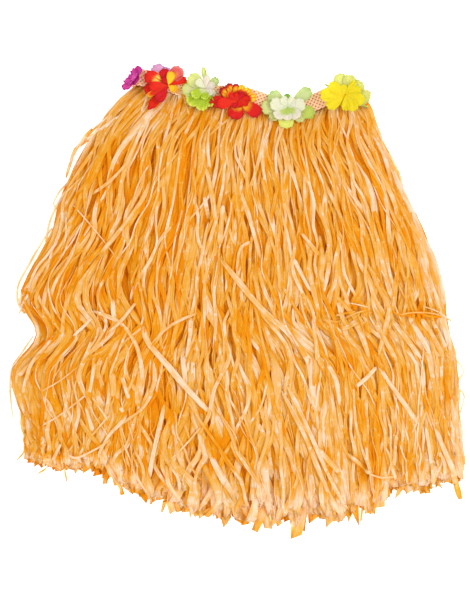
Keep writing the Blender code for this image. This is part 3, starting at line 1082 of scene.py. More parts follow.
    @staticmethod
    def _faces(count: int, n: int, k: int) -> list:
        """Number the walls and end caps of the ribbons.

        Args:
            count: How many ribbons there are.
            n: Their stations.
            k: The points of each section.

        Returns:
            The numbers of each face's points.
        """
        index = np.arange(count * n * k).reshape(count, n, k)
        near, far = index[:, :-1], index[:, 1:]
        walls = np.stack([near, np.roll(near, -1, 2), np.roll(far, -1, 2), far], axis=3)
        first, last = index[:, 0], index[:, -1]
        caps = []
        for step in range(1, k - 1):
            caps.append(np.stack([first[:, 0], first[:, step + 1], first[:, step]], axis=1))
            caps.append(np.stack([last[:, 0], last[:, step], last[:, step + 1]], axis=1))
        return walls.reshape(-1, 4).tolist() + np.concatenate(caps).tolist()


@dataclass(frozen=True)
class Layer:
    """One layer of ribbons: how it was cut, how it falls and how it took the dye.

    Widths, shifts and springs are in mm, and tones are tints. What depends on down is a
    share of the raffia's length.
    """

    name: str
    nodes: tuple[str, ...]
    count: int
    stations: int
    creases: int
    seed: int
    locks: int = 60
    inset: float = 0.0
    # how its ribbons are cut
    narrow: float = 2.8
    wide: float = 11.0
    at_waist: float = 0.6  # a share of the full width, as at_hem is
    at_hem: float = 1.5
    width_change: float = 0.34
    uneven_cut: float = 0.013
    cut_short: float = 0.14  # the share of its ribbons that end well above the hem
    # how they fall
    stray: float = 5.0  # what a lock wanders together
    wander: float = 5.0  # what each ribbon wanders by itself
    crinkle: float = 3.3
    kink_apart: float = 42.0
    tangle: float = 9.0  # how far the waist's ribbons are from where they are sewn
    crossing: float = 0.35  # the share of its ribbons that cross to another lock
    crossing_reach: float = 17.0
    roll: float = 0.3
    spring: float = 1.0
    crease: float = 0.13
    thick: float = 0.2
    # how they took the dye, and the painted light and shade by the fold
    tone: float = 0.44
    tone_spread: float = 0.115
    paler: float = 0.3  # where a ribbon turns its waxy side up
    root_tone: float = 0.13
    corner_tone: float = 0.07
    # painted highlight just below the pressed fold, and painted shadow just above it
    fold_painted_highlight: float = 0.24
    fold_painted_shadow: float = 0.16

    def ribbons(self, lie: Lie, pile: Pile) -> Ribbons:
        """Lay every ribbon of this layer in a shuffled order.

        Args:
            lie: The way the skirt lies.
            pile: The pile that they are laid on.

        Returns:
            The ribbons, still loosely piled.
        """
        rng = np.random.default_rng(self.seed)
        made = Ribbons(self.name, self.stations, self.creases, self.seed + 500)
        homes = (np.arange(self.locks) + rng.uniform(0.1, 0.9, self.locks)) / self.locks
        locks = [self._lock(rng, home) for home in homes]
        roots = np.random.default_rng(self.seed + 900)
        for k in rng.permutation(self.count):
            self._lay(rng, roots, locks[k % self.locks], made, lie, pile)
        return made

    def _lock(self, rng: np.random.Generator, home: float) -> dict:
        """Choose how the ribbons of one lock wander together.

        Args:
            rng: The source of the choice.
            home: Where the lock is sewn, as a share across before the inset.

        Returns:
            What its ribbons share.
        """
        return {
            "home": self.inset + home * (1 - 2 * self.inset),
            "seed": int(rng.integers(1 << 30)),
            "kink": rng.normal(0, 4.0),
            "phase": rng.uniform(0, 2 * math.pi),
            "tone": rng.normal(0, 0.1),
            "cut": rng.normal(0, 0.009),
        }

    def _lay(
        self,
        rng: np.random.Generator,
        roots: np.random.Generator,
        lock: dict,
        made: Ribbons,
        lie: Lie,
        pile: Pile,
    ) -> None:
        """Cut one ribbon, crumple it and lay it.

        Args:
            rng: The source of its cut, fall and tone.
            roots: The source of its tangle at the waist.
            lock: What it shares with the ribbons of its lock.
            made: The ribbons that are laid so far.
            lie: The way the skirt lies.
            pile: The pile that it is laid on.
        """
        end = float(lie.hem(lock["home"])) + rng.normal(0, self.uneven_cut) + lock["cut"]
        if rng.random() < self.cut_short:
            end -= rng.uniform(0.02, 0.2)
        down = np.linspace(0.0, end, self.stations)
        along, sway = down * lie.raffia_mm, ease(down / 0.16)
        across = self._course(rng, roots, lock, lie, down, sway)
        width = self.narrow + (self.wide - self.narrow) * rng.beta(1.5, 2.6)
        opened = self.at_waist + (1 - self.at_waist) * ease(down / 0.4)
        opened = opened + (self.at_hem - 1) * ease((down - 0.45) / 0.4)
        twist = waves(rng, along, (75.0, 140.0))
        half = width / 2 * opened * np.clip(1 + self.width_change * twist, 0.3, 1.6)
        roll = self.roll * waves(rng, along, (90.0, 170.0))
        lift = self.spring * np.clip(1.6 * waves(rng, along, (80.0, 150.0)), -1.7, 2) * sway
        turned = ease(0.5 + 1.5 * waves(rng, along, (110.0, 200.0)) - 0.7)
        tint = self.tone + lock["tone"] + rng.normal(0, self.tone_spread)
        tint = tint + self._tint_and_painted_light(lock["home"], down)
        tint = tint + self.paler * turned * ease(0.3 + down / 0.2)
        made.add(
            pile,
            lie,
            lie.at(across, down),
            half=np.maximum(half, 0.45),
            lift=lift + 0.1,
            roll=roll,
            tint=tint + self._fold_painted_light(down - lie.fold(across)) * lie.tucked(across),
            crease=self.crease * rng.uniform(0.4, 1.5),
            shares=(across, down),
            thick=self.thick,
        )

    def _course(
        self,
        rng: np.random.Generator,
        roots: np.random.Generator,
        lock: dict,
        lie: Lie,
        down: np.ndarray,
        sway: np.ndarray,
    ) -> np.ndarray:
        """Choose how far across a ribbon is at each share down.

        Args:
            rng: The source of its own turns.
            roots: The source of its tangle at the waist.
            lock: What it shares with the ribbons of its lock.
            lie: The way the skirt lies.
            down: The shares down of its stations.
            sway: How freely it moves there, from 0 at the seam to 1.

        Returns:
            Its shares across.
        """
        along = down * lie.raffia_mm
        together = np.random.default_rng(lock["seed"])
        shift = waves(together, along, (260.0, 130.0)) * self.stray * sway
        squeeze = 0.6 + 0.4 * np.sin(2 * math.pi * along / 190.0 + lock["phase"])
        shift += rng.uniform(-1, 1) * lie.raffia_mm * 1.1 / self.locks * squeeze
        shift += waves(rng, along, (170.0, 300.0)) * self.wander * sway
        shift += crumples(rng, along, self.kink_apart) * self.crinkle * (0.5 + 0.5 * sway)
        shift += roots.normal(0, self.tangle) * ease(1 - down / roots.uniform(0.07, 0.16))
        shift += (lock["kink"] + rng.normal(0, 3.0)) * np.exp(-np.abs(down - 0.5) / 0.045)
        shift += lie.kink(lock["home"], down) * rng.uniform(0.65, 1.25)
        if rng.random() < self.crossing:
            begin, reach = rng.uniform(0.02, 0.75), rng.uniform(0.1, 0.3)
            shift += rng.normal(0, self.crossing_reach) * ease((down - begin) / reach)
        across = lock["home"] + shift / lie.width(down)
        over = np.maximum(across - 0.985, 0) - np.maximum(0.015 - across, 0)
        return across - over * 0.85

    def _tint_and_painted_light(self, home: float, down: np.ndarray) -> np.ndarray:
        """Find how the tint changes down a ribbon: it is paler at the root and towards the hem,
        and paler to the right, which is painted light from the key lamp's side.

        Args:
            home: Where the ribbon is sewn, as a share across.
            down: The shares down of its stations.

        Returns:
            The change at each station.
        """
        # painted light: paler to the right, on the key lamp's side
        slope = 0.05 + 0.12 * ease(down / 0.5) + 0.16 * np.exp(-(((down - 0.45) / 0.2) ** 2))
        change = slope * (home - 0.45) + 0.2 * ease(down / 0.9) - 0.11
        change += self.root_tone * np.exp(-((down / 0.11) ** 2))
        return change + self.corner_tone * ease((down - 0.6) / 0.2) * ease((0.42 - home) / 0.3)

    def _fold_painted_light(self, past: np.ndarray) -> np.ndarray:
        """Return the painted highlight just below the pressed fold and the painted shadow just
        above it, at shares down past it.
        """
        lit = self.fold_painted_highlight * ease(past / 0.015) * ease((0.1 - past) / 0.06)
        return lit - self.fold_painted_shadow * ease((past + 0.035) / 0.03) * (past < 0)


class Tone(Enum):
    """How pale a single ribbon is, as a tint."""

    DEEP = 0.2
    MID = 0.5
    PALE = 0.78
    BRIGHT = 1.0


@dataclass(frozen=True)
class Stray:
    """One ribbon that lies across the others or stands out at a side."""

    width: float
    tone: Tone
    path: Sequence[tuple[float, float]]


DEEP, MID, PALE, BRIGHT = Tone
STRAY_ROWS = (
    (4.6, PALE, (-150, 240), (-184, 215), (-200, 204), (-213, 193), (-219, 172)),
    (3.0, PALE, (-162, 240), (-184, 224), (-202, 205), (-214, 192)),
    (2.6, BRIGHT, (-212, 160), (-232, 140), (-240, 124), (-235, 116)),
    (3.6, BRIGHT, (-222, 142), (-237, 119), (-246, 97), (-250, 73)),
    (3.4, BRIGHT, (-242, 92), (-254, 76), (-272, 45), (-286, 18), (-286, -6), (-278, -14)),
    (1.6, PALE, (-215, 123), (-185, 89), (-155, 51)),
    (5.5, PALE, (-111, 159), (-124, 127), (-155, 85), (-181, 54)),
    (4.0, PALE, (-137, 183), (-163, 154), (-189, 135)),
    (2.6, PALE, (177, 229), (193, 198), (209, 167), (215, 144), (216, 120)),
    (2.6, PALE, (275, -41), (277, -70), (295, -94), (283, -114), (296, -127), (286, -161)),
    (2.4, BRIGHT, (-267, -49), (-281, -70), (-294, -90), (-297, -118), (-293, -160)),
    (2.4, MID, (-271, -168), (-278, -198), (-288, -211)),
    (2.4, MID, (-231, -192), (-246, -218), (-261, -229)),
    (2.4, MID, (-229, -200), (-223, -239)),
    (5.2, PALE, (-187, -16), (-153, -31), (-132, -59), (-124, -93), (-125, -119)),
    (4.2, PALE, (-129, -2), (-150, -28), (-168, -45)),
    (4.2, BRIGHT, (-189, -25), (-200, -37), (-213, -49)),
    (3.6, PALE, (-53, -19), (-80, -31), (-105, -49)),
    (7.6, BRIGHT, (-123, -36), (-115, -58), (-92, -85), (-64, -118), (-34, -150)),
    (5.4, BRIGHT, (-60, -25), (-62, -51), (-66, -77)),
    (5.2, BRIGHT, (-58, -81), (-57, -106)),
    (1.7, PALE, (-259, -123), (-231, -107), (-200, -83)),
    (2.0, PALE, (-255, -166), (-227, -149), (-194, -123)),
    (2.6, PALE, (-163, -148), (-176, -163), (-192, -181)),
    (2.6, PALE, (-45, -164), (-66, -188), (-90, -213)),
    (3.4, MID, (-73, -119), (-45, -163), (-23, -194), (-1, -226)),
    (4.2, PALE, (-109, -122), (-127, -146), (-158, -168), (-176, -194), (-185, -218)),
    (5.6, BRIGHT, (-94, -135), (-102, -171), (-110, -205), (-115, -236)),
    (6.5, PALE, (198, -7), (192, -38), (183, -73)),
    (5.0, BRIGHT, (180, -89), (167, -103), (153, -115)),
    (6.0, BRIGHT, (184, -90), (206, -122), (235, -163)),
    (2.6, PALE, (170, -227), (187, -232), (202, -231)),
    (5.5, PALE, (25, -10), (45, -36), (63, -60), (71, -90)),
    (6.0, PALE, (57, -119), (76, -155), (92, -189), (116, -248), (136, -285)),
    (5.0, PALE, (63, -111), (81, -145), (98, -184), (120, -233), (145, -278)),
    (2.2, MID, (100, -26), (116, -28), (131, -30), (146, -22), (160, -17), (175, -16)),
    (2.6, MID, (127, -22), (140, -19), (152, -17)),
    (2.0, PALE, (146, -6), (160, -9), (172, -12)),
    (3.2, DEEP, (200, -17), (216, -22), (232, -18), (248, -23), (268, -24)),
    (2.2, MID, (207, -22), (230, -18), (256, -20), (276, -27)),
    (2.2, PALE, (240, -10), (258, -16), (280, -30)),
    (5.0, MID, (167, 256), (174, 244), (179, 228), (188, 208)),
    (4.0, MID, (-190, 222), (-208, 198), (-217, 180), (-224, 158)),
    (6.5, PALE, (201, -28), (219, -52), (238, -78)),
    (6.0, BRIGHT, (222, -24), (237, -48), (250, -72)),
    (7.0, PALE, (238, -26), (254, -50), (266, -76)),
    (5.5, BRIGHT, (253, -29), (263, -48), (271, -66)),
    (5.5, PALE, (180, -30), (191, -53), (206, -80)),
    (6.5, PALE, (151, -28), (160, -46), (172, -80)),
    (7.0, PALE, (134, -40), (146, -35), (156, -28)),
    (6.0, PALE, (98, -25), (102, -60), (104, -82)),
    (5.5, BRIGHT, (117, -85), (128, -107), (133, -140)),
    (3.0, PALE, (-270, 8), (-280, -8), (-285, -20)),
    (8.0, MID, (272, -196), (281, -228), (291, -262)),
    (6.0, BRIGHT, (245, -165), (249, -190), (252, -216)),
    (6.5, PALE, (256, -168), (271, -203), (284, -232)),
    (5.0, PALE, (206, -176), (203, -216)),
    (5.5, PALE, (142, -201), (158, -214), (172, -227)),
    (6.5, PALE, (104, -194), (119, -211), (133, -227)),
    (3.4, PALE, (150, -112), (153, -158), (160, -190), (172, -225)),
    (6.0, PALE, (-177, -76), (-181, -96), (-174, -116)),
    (5.5, PALE, (-189, -55), (-197, -76), (-205, -100), (-197, -126)),
    (4.5, BRIGHT, (-185, -84), (-192, -124)),
    (7.0, PALE, (-162, -96), (-160, -128)),
    (5.0, BRIGHT, (-150, -100), (-140, -132)),
    (5.0, BRIGHT, (-153, -140), (-146, -154), (-162, -172)),
    (5.0, BRIGHT, (-197, -140), (-187, -172)),
    (3.4, PALE, (-189, -127), (-168, -158)),
    (3.0, PALE, (-223, -200), (-209, -206), (-185, -196), (-164, -182)),
    (4.0, PALE, (-229, -188), (-239, -210)),
    (3.4, MID, (-172, -67), (-189, -75), (-203, -85)),
    (5.5, PALE, (3, 141), (16, 103), (30, 51)),
    (7.5, PALE, (-22, 51), (8, 14), (31, -13), (60, -40)),
    (5.0, BRIGHT, (-43, 133), (-37, 101)),
    (7.0, PALE, (-19, 121), (-23, 69)),
    (4.5, PALE, (-25, 110), (-43, 53)),
    (4.0, PALE, (16, 74), (3, 63), (-1, 35)),
    (5.0, BRIGHT, (73, 51), (94, 10)),
    (5.0, PALE, (82, 86), (106, 56)),
    # over the waistband
    (5.0, BRIGHT, (-122, 298), (-129, 289), (-137, 276)),
    (4.0, PALE, (-79, 286), (-75, 264), (-79, 236)),
    (3.4, MID, (-71, 288), (-70, 266), (-62, 236)),
    (3.0, DEEP, (-66, 284), (-72, 262), (-84, 232)),
    (3.0, PALE, (-120, 276), (-118, 262), (-126, 240)),
    (2.6, MID, (-22, 276), (-24, 258), (-30, 236)),
)
STRAYS = tuple(Stray(width, tone, path) for width, tone, *path in STRAY_ROWS)


@dataclass
class Raffia:
    """All the raffia, from the layer on the ground to the strays on top."""

    lie: Lie
    heap: Heap
    layers: tuple[Layer, ...] = (
        Layer(
            "back_outer_ribbons", ("back_mat",), 300, 24, 1, 31, inset=0.02, spring=0.4, roll=0.1
        ),
        Layer("back_ribbons", ("raffia_back",), 260, 30, 1, 32, inset=0.012, spring=0.8),
        Layer("inner_ribbons", ("front_mat",), 260, 24, 1, 33, inset=0.02, tone=0.28),
        Layer(
            "front_under_ribbons", ("raffia_front_under",), 380, 36, 2, 34, inset=0.006, tone=0.38
        ),
        Layer("front_top_ribbons", ("raffia_front_top",), 400, 40, 3, 35, tone=0.54),
    )
    loose_stations: int = 22
    loose_seed: int = 71
    loose_length: tuple[float, float] = (50, 150)
    shorts: int = 300  # short ends of ribbons
    short_width: tuple[float, float] = (2.8, 6.4)
    wisps: int = 110  # thin fibres that have split off
    wisp_width: tuple[float, float] = (0.9, 2.4)

    def make(self, finish: RaffiaFinish) -> list[bpy.types.Object]:
        """Lay, press and build every layer.

        Args:
            finish: The finish of all the raffia.

        Returns:
            The pieces, the lowest first.
        """
        pile = Pile()
        laid = [(layer.nodes, layer.ribbons(self.lie, pile)) for layer in self.layers]
        laid.append((("raffia_loose",), self._loose(pile)))
        smooth, around = pile.smoothed(), pile.smoothed(2, 1, least=1.0)
        log.info("the loose pile is %.1f mm high", smooth.max())
        material = finish.make()
        pieces = []
        for nodes, ribbons in laid:
            ribbons.settle(self.heap, pile, smooth, around)
            mesh = ribbons.mesh()
            mesh.materials.append(material)
            pieces.append(add_piece(ribbons.name, mesh, "raffia", nodes))
        return pieces

    def _loose(self, pile: Pile) -> Ribbons:
        """Lay the short ends, the wisps, and the strays on top of them.

        Args:
            pile: The pile that they are laid on.

        Returns:
            The loose ribbons.
        """
        rng = np.random.default_rng(self.loose_seed)
        n = self.loose_stations
        made = Ribbons("loose_ribbons", n, 3, self.loose_seed + 500, clears_band=True)
        for k in range(self.shorts + self.wisps):
            across, down = rng.uniform(0.02, 0.98), rng.uniform(0.08, 0.9) ** 0.8
            length = rng.uniform(*self.loose_length)
            shares = down + np.linspace(0, length / self.lie.raffia_mm, n)
            lean = rng.normal(0, 17.0) * np.linspace(-0.5, 0.5, n) * length / 100
            along = np.linspace(0, length, n)
            lean += waves(rng, along, (60.0, 110.0)) * 2.0 + crumples(rng, along, 30.0) * 1.5
            aside = np.clip(across + lean / self.lie.width(shares), 0.0, 1.0)
            shares -= max(0.0, shares[-1] - float(self.lie.hem(aside[-1])))
            path = self.lie.at(aside, shares)
            width = rng.uniform(*(self.short_width if k < self.shorts else self.wisp_width))
            self._add(rng, made, pile, path, width, rng.uniform(0.3, 0.95), 0.6, 2.4)
        for stray in STRAYS:
            points = np.array(stray.path, float)
            path = smooth_through(points, np.linspace(0, len(points) - 1, n))
            self._add(rng, made, pile, path, stray.width, stray.tone.value, 0.8, 1.5)
        return made

    def _add(
        self,
        rng: np.random.Generator,
        made: Ribbons,
        pile: Pile,
        path: np.ndarray,
        width: float,
        tint: float,
        spring: float,
        dive: float,
    ) -> None:
        """Lay one loose ribbon whose path is known, with its ends under the others.

        Args:
            rng: The source of its small waves.
            made: The loose ribbons so far.
            pile: The pile that it is laid on.
            path: Its middle line in plan.
            width: Its width.
            tint: How pale it is.
            spring: How far its middle springs up.
            dive: How far its ends go under.
        """
        along = np.linspace(0, 1, len(path))
        to_end = np.minimum(along, 1 - along)
        length = np.linalg.norm(np.diff(path, axis=0), axis=1).sum()
        taper = np.minimum(1, 0.55 + 4 * to_end)
        made.add(
            pile,
            self.lie,
            path,
            half=width / 2 * taper * (1 + 0.1 * waves(rng, along * length, (70.0,))),
            lift=0.2 + spring * np.sin(math.pi * along) - dive * ease(1 - 7 * to_end),
            roll=0.22 * waves(rng, along * length, (90.0,)),
            tint=np.full(len(path), tint),
            crease=0.16,
            thick=0.3,
        )


# ---------------------------------------------------------------- waistband


@dataclass
class Waistband:
    """The plaited band: one closed loop with a front run, a back run and two folds."""

    lie: Lie
    back_z: float = 4.9
    front_z: float = 8.6
    thick: float = 1.7
    relief: float = 0.8
    least_relief: float = 0.15  # in the plait's holes
    turned_in: float = 0.3  # how far the band's edges are below the plait
    strip_mm: float = 5.4
    run_steps: int = 300
    fold_steps: int = 10
    height_steps: int = 40

    def plait(self, along: np.ndarray, tall: np.ndarray) -> np.ndarray:
        """Find how high the plait stands.

        Args:
            along: Distances along the band.
            tall: Distances above its middle line.

        Returns:
            A share from 0, in its holes, to 1, on its strips.
        """
        rising = (along + tall) / self.strip_mm
        falling = (along - tall) / self.strip_mm
        over = np.cos(math.pi * rising) ** 2
        under = np.cos(math.pi * falling) ** 2
        crossings = np.floor(rising + 0.5) + np.floor(falling + 0.5)
        turn = 0.5 + 0.5 * np.sin(math.pi * crossings + 1)
        woven = np.maximum(over * (0.75 + 0.25 * turn), under * (1 - 0.25 * turn))
        return woven**0.7

    def make(self, finish: PlaitFinish, fringe: Sequence[bpy.types.Object]) -> bpy.types.Object:
        """Build the band.

        Args:
            finish: Its finish.
            fringe: The raffia that is sewn to it. It is not used.

        Returns:
            The band.
        """
        run = np.linspace(0, 1, self.run_steps)
        turns = -math.pi * np.arange(1, self.fold_steps + 1) / (self.fold_steps + 1)
        across = np.concatenate([run, np.ones(len(turns)), run[::-1], np.zeros(len(turns))])
        front, back = np.zeros(len(run)), np.full(len(run), -math.pi)
        turn = np.concatenate([front, turns, back, turns - math.pi])
        middle, upward = self.lie.band(across)
        facing = np.column_stack(
            [-upward[:, 1] * np.sin(turn), upward[:, 0] * np.sin(turn), np.cos(turn)]
        )
        edge = BAND_HEIGHT / 2
        tall = np.linspace(-0.5, 0.5, self.height_steps + 1) * BAND_HEIGHT
        bend, level = (self.front_z - self.back_z) / 2, (self.front_z + self.back_z) / 2
        centre = np.column_stack([middle, np.full(len(middle), level)])
        lift = np.column_stack([upward, np.zeros(len(upward))])
        steps = np.linalg.norm(np.diff(centre + facing * bend, axis=0), axis=1)
        along = np.concatenate([[0], steps.cumsum()])
        high = self.plait(along[:, None], tall[None])
        rim = 1 - (np.abs(tall) / edge) ** 8
        raised = (self.relief * high + self.least_relief) * rim[None]
        out = self.thick + raised - self.turned_in * (1 - rim[None])
        outer = (
            centre[:, None]
            + lift[:, None] * tall[None, :, None]
            + facing[:, None] * (bend + out)[..., None]
        )
        inner = [centre + lift * t + facing * bend for t in (edge - 0.2, 0.2 - edge)]
        points = np.concatenate([outer, np.stack(inner, axis=1)], axis=1)
        count, k = points.shape[:2]
        index = np.arange(count * k).reshape(count, k)
        following = np.roll(index, -1, 0)
        corners = [index, following, np.roll(following, -1, 1), np.roll(index, -1, 1)]
        faces = np.stack(corners, axis=2).reshape(-1, 4).tolist()
        heights = np.concatenate([high, np.full((count, 2), 0.3)], axis=1)
        tall = np.concatenate([tall, tall[[-1, 0]]])
        where = np.stack([along[:, None] + 0 * heights, tall[None] + 0 * heights], axis=2)
        mesh = build_mesh("waistband_plait", points, faces, ("plait", where), high=heights)
        mesh.materials.append(finish.make())
        band = add_piece("waistband_plait", mesh, "plait", ("waistband",))
        return band


# ---------------------------------------------------------------- flowers


@dataclass(frozen=True)
class Print:
    """How a petal is printed, from its heart to its rim.

    streak runs up its middle as strongly as strength says. heart_reach is the share of the
    petal that the heart's colour takes up, and band is where the streak's colour makes an
    arc across it, or 0.
    """

    heart: str
    body: str
    rim: str
    streak: str
    strength: float = 0.4
    heart_reach: float = 0.12
    band: float = 0.0


class Dye(Enum):
    """What the petals are printed with."""

    RED = Print("#ee3a10", "#ec2a0e", "#d21a12", "#f04416", 0.25)
    CRIMSON = Print("#e4201a", "#de1622", "#c41422", "#e4262a", 0.25)
    RED_FOLD = Print("#ea2c14", "#e41c12", "#f68a28", "#f05a20", 0.25)
    GOLD_RIM = Print("#e6200e", "#e6200e", "#fcc824", "#fff040", 0.1, band=0.84)
    GOLD_HEART = Print("#fcd020", "#e41c14", "#cc161a", "#e6281a", 0.2, heart_reach=0.36)
    GOLD_SPOT = Print("#ea260e", "#ea260e", "#d21a12", "#fff060", 0.1, band=0.52)
    GOLD_TIP = Print("#e6200e", "#e8320e", "#fbc81e", "#ee4a12", 0.3)
    GOLD_BAND = Print("#e0200e", "#e22412", "#a01418", "#fcd420", 0.1, band=0.72)
    PINK_TIP = Print("#fcc420", "#de6c68", "#e6948e", "#fcc42c", 0.8, heart_reach=0.2)
    GOLD = Print("#ffe42a", "#fedc2a", "#f8ba22", "#fee838", 0.3)
    LIME = Print("#e8e8c0", "#c0d62e", "#e4ee5e", "#aecc28", 0.4, heart_reach=0.25)
    LIME_PALE = Print("#e8e8cc", "#dee29a", "#d2de80", "#e6eac2", 0.4)
    LEMON = Print("#f0f4a4", "#eaf07c", "#dee868", "#f0f4a0", 0.4)
    CREAM = Print("#f0e4de", "#ebe2d6", "#dee6c0", "#f0e6e0", 0.4)
    BLUSH = Print("#dce6b8", "#ebebd2", "#e6e6cc", "#f0ece2", 0.4)
    BLUSH_GREEN = Print("#c8da6c", "#ebe4d6", "#ece6d4", "#cadc8c", 0.3, heart_reach=0.42)
    PALE_GREEN = Print("#e2e6cc", "#ced99c", "#b6d27c", "#d8e2ba", 0.4)
    GREEN = Print("#c0d880", "#a4ca5c", "#84bc44", "#b8d47c", 0.3)
    LEAF = Print("#d8e27c", "#ccda64", "#b6cc50", "#d8e484", 0.3)
    YELLOW = Print("#f6de00", "#f0e010", "#e8de10", "#f4e81e", 0.4)
    PALE_LIME = Print("#e6e45c", "#dfe088", "#d4d880", "#e4e698", 0.4)
    PURPLE = Print("#fa84dc", "#e044b0", "#bc2698", "#f06cce", 0.5)
    LILAC = Print("#ecc8dc", "#e6c0dc", "#d8aed6", "#eeccdc", 0.4)


@dataclass(frozen=True)
class Petal:
    """One petal: its direction in degrees, its reach, how far its tip lifts, and its print.

    half is half its width in degrees, or 0 where it just overlaps its neighbours, and tip
    is how far its rim comes to a point.
    """

    angle: float
    reach: float
    lift: float
    dye: Dye
    half: float = 0.0
    tip: float = 0.0


def petals(*rows: tuple) -> tuple[Petal, ...]:
    """Return the petals that are given as rows of their sizes, in the petal's own order."""
    return tuple(Petal(*row) for row in rows)


@dataclass(frozen=True)
class Flower:
    """A cloth flower: one or two whorls of petals that overlap like the blades of a fan."""

    name: str
    slot: str
    speckle: str
    place: tuple[float, float, float]
    lower: tuple[Petal, ...]
    upper: tuple[Petal, ...] = ()
    faces: tuple[float, float, float] = (0.0, 0.0, 1.0)
    top: tuple[float, float, float] = (0.0, 1.0, 0.0)
    bowl: float = 6.0
    relief: float = 0.7
    seed: int = 1
    rings: int = 16
    ribs: int = 20
    stacked: float = 0.05  # how much higher each petal lies than the one before
    overlap: float = 1.3  # a petal's width, by its share of the round

    def make(self) -> list[bpy.types.Object]:
        """Build both whorls.

        Returns:
            The lower whorl, and the upper one where there is one.
        """
        finish = PetalFinish(self.name + "_cloth", self.speckle).make()
        pieces = [self._whorl(self.name, self.lower, 0.0, 0.0, finish)]
        if self.upper:
            pieces.append(self._whorl(self.name + "_upper", self.upper, 1.2, 0.2, finish))
        return pieces

    def _petal(
        self, rng: np.random.Generator, petal: Petal, wide: float, raised: float, steep: float
    ) -> tuple[np.ndarray, np.ndarray]:
        """Shape one petal.

        Args:
            rng: The source of its ruffles.
            petal: Its row in the table.
            wide: Half its width, as an angle.
            raised: How far the whorl is above the pin.
            steep: How much more steeply than the bowl it climbs.

        Returns:
            Its points and their dye colours, as grids of rings and ribs.
        """
        ring = np.linspace(0.02, 1, self.rings + 1)[:, None]
        rib = np.linspace(-1, 1, self.ribs + 1)[None]
        flutes = waves(rng, rib * 10, (3.5, 6.0))
        rim = 1 - 0.24 * np.abs(rib) ** 2.8 - petal.tip * np.abs(rib) + 0.025 * flutes
        radius = petal.reach * ring * (1 + (rim - 1) * ease(ring))
        angle = math.radians(petal.angle) + rib * wide * (0.82 + 0.18 * np.sin(math.pi * ring))
        climb = self.bowl * (radius / 32.0) ** 0.7 + steep * radius
        ruffle = 1.5 * waves(rng, rib * 10 + 2 * ring, (7.0, 12.0)) * ring**3
        crumple = 0.8 * waves(rng, rib * 6 + 14 * ring, (6.0, 10.0)) * ring
        fan = 0.8 * rib * np.minimum(1, 3 * ring)
        groove = -0.5 * np.exp(-((rib / 0.16) ** 2)) * ring * (1.2 - ring)
        folds = self.relief * (ruffle + crumple + fan + groove)
        rise = raised + climb + petal.lift * ring**2 + folds
        points = np.stack([radius * np.cos(angle), radius * np.sin(angle), rise], axis=2)
        return points, self._printed(petal.dye.value, ring, rib, flutes)

    @staticmethod
    def _printed(
        colours: Print, ring: np.ndarray, rib: np.ndarray, flutes: np.ndarray
    ) -> np.ndarray:
        """Return the print's colour at each point of a petal's grid.

        Args:
            colours: The petal's print.
            ring: How far out each ring is, as a share of the petal.
            rib: How far aside each rib is, from -1 to 1.
            flutes: The waves of its rim, which the print's edges follow.

        Returns:
            A linear colour with its alpha for each ring and rib.
        """
        heart, body, edge, streak = (
            np.array(linear(c))
            for c in (colours.heart, colours.body, colours.rim, colours.streak)
        )
        over = 0 * ring + 0 * rib
        inner = (ease((ring - colours.heart_reach) / 0.28) + over)[..., None]
        outer = (ease((ring - 0.84 + 0.05 * flutes) / 0.14) + over)[..., None]
        line = np.exp(-((rib / 0.3) ** 2)) * ease((ring - 0.05) / 0.2) * ease((0.85 - ring) / 0.4)
        line = (colours.strength * line)[..., None]
        colour = heart * (1 - inner) + body * inner
        colour = colour * (1 - line) + streak * line
        if colours.band:
            arc = np.exp(-(((ring - colours.band + 0.04 * flutes) / 0.12) ** 4))
            arc = (arc * ease(0.9 + 0.5 * flutes))[..., None]
            colour = colour * (1 - arc) + streak * arc
        return colour * (1 - outer) + edge * outer

    def _whorl(
        self,
        name: str,
        whorl: tuple[Petal, ...],
        raised: float,
        steep: float,
        finish: bpy.types.Material,
    ) -> bpy.types.Object:
        """Build one whorl of petals as thin cloth.

        Args:
            name: The solid that it stands for.
            whorl: Its petals, in their order round the flower.
            raised: How far it is above the pin.
            steep: How much more steeply than the bowl it climbs.
            finish: Its material.

        Returns:
            The whorl.
        """
        rng = np.random.default_rng(self.seed + (40 if raised else 0))
        points, colours, faces, where = [], [], [], []
        start, area = 0, 0.0
        for k, petal in enumerate(whorl):
            before = (petal.angle - whorl[k - 1].angle) % 360
            after = (whorl[(k + 1) % len(whorl)].angle - petal.angle) % 360
            share = min(60.0, (before + after) / 4 * self.overlap)
            wide = math.radians(petal.half or share)
            shaped, dyed = self._petal(rng, petal, wide, raised + self.stacked * k, steep)
            index = start + np.arange(shaped[..., 0].size).reshape(shaped.shape[:2])
            start += index.size
            points.append(shaped.reshape(-1, 3))
            colours.append(dyed.reshape(-1, 4))
            where.append(points[-1][:, :2] + 90.0 * k)
            corners = [index[:-1, :-1], index[1:, :-1], index[1:, 1:], index[:-1, 1:]]
            faces += np.stack(corners, axis=2).reshape(-1, 4).tolist()
            area += wide * petal.reach**2 * 0.92
        cloth = ("cloth", np.concatenate(where))
        mesh = build_mesh(
            name + "_petals", np.concatenate(points), faces, cloth, dye=np.concatenate(colours)
        )
        mesh.transform(self._frame())
        for point in mesh.vertices:
            point.co.z = max(point.co.z, PETAL_CLEAR * MM)
        mesh.materials.append(finish)
        piece = add_piece(name + "_petals", mesh, self.slot, (name,))
        apply_modifier(piece, "SOLIDIFY", thickness=PETAL_THICK * MM, offset=1.0)
        reach = max(petal.reach for petal in whorl)
        float(np.clip(area, 1.3 * reach**2, 3.9 * reach**2)) * MM**2
        return piece

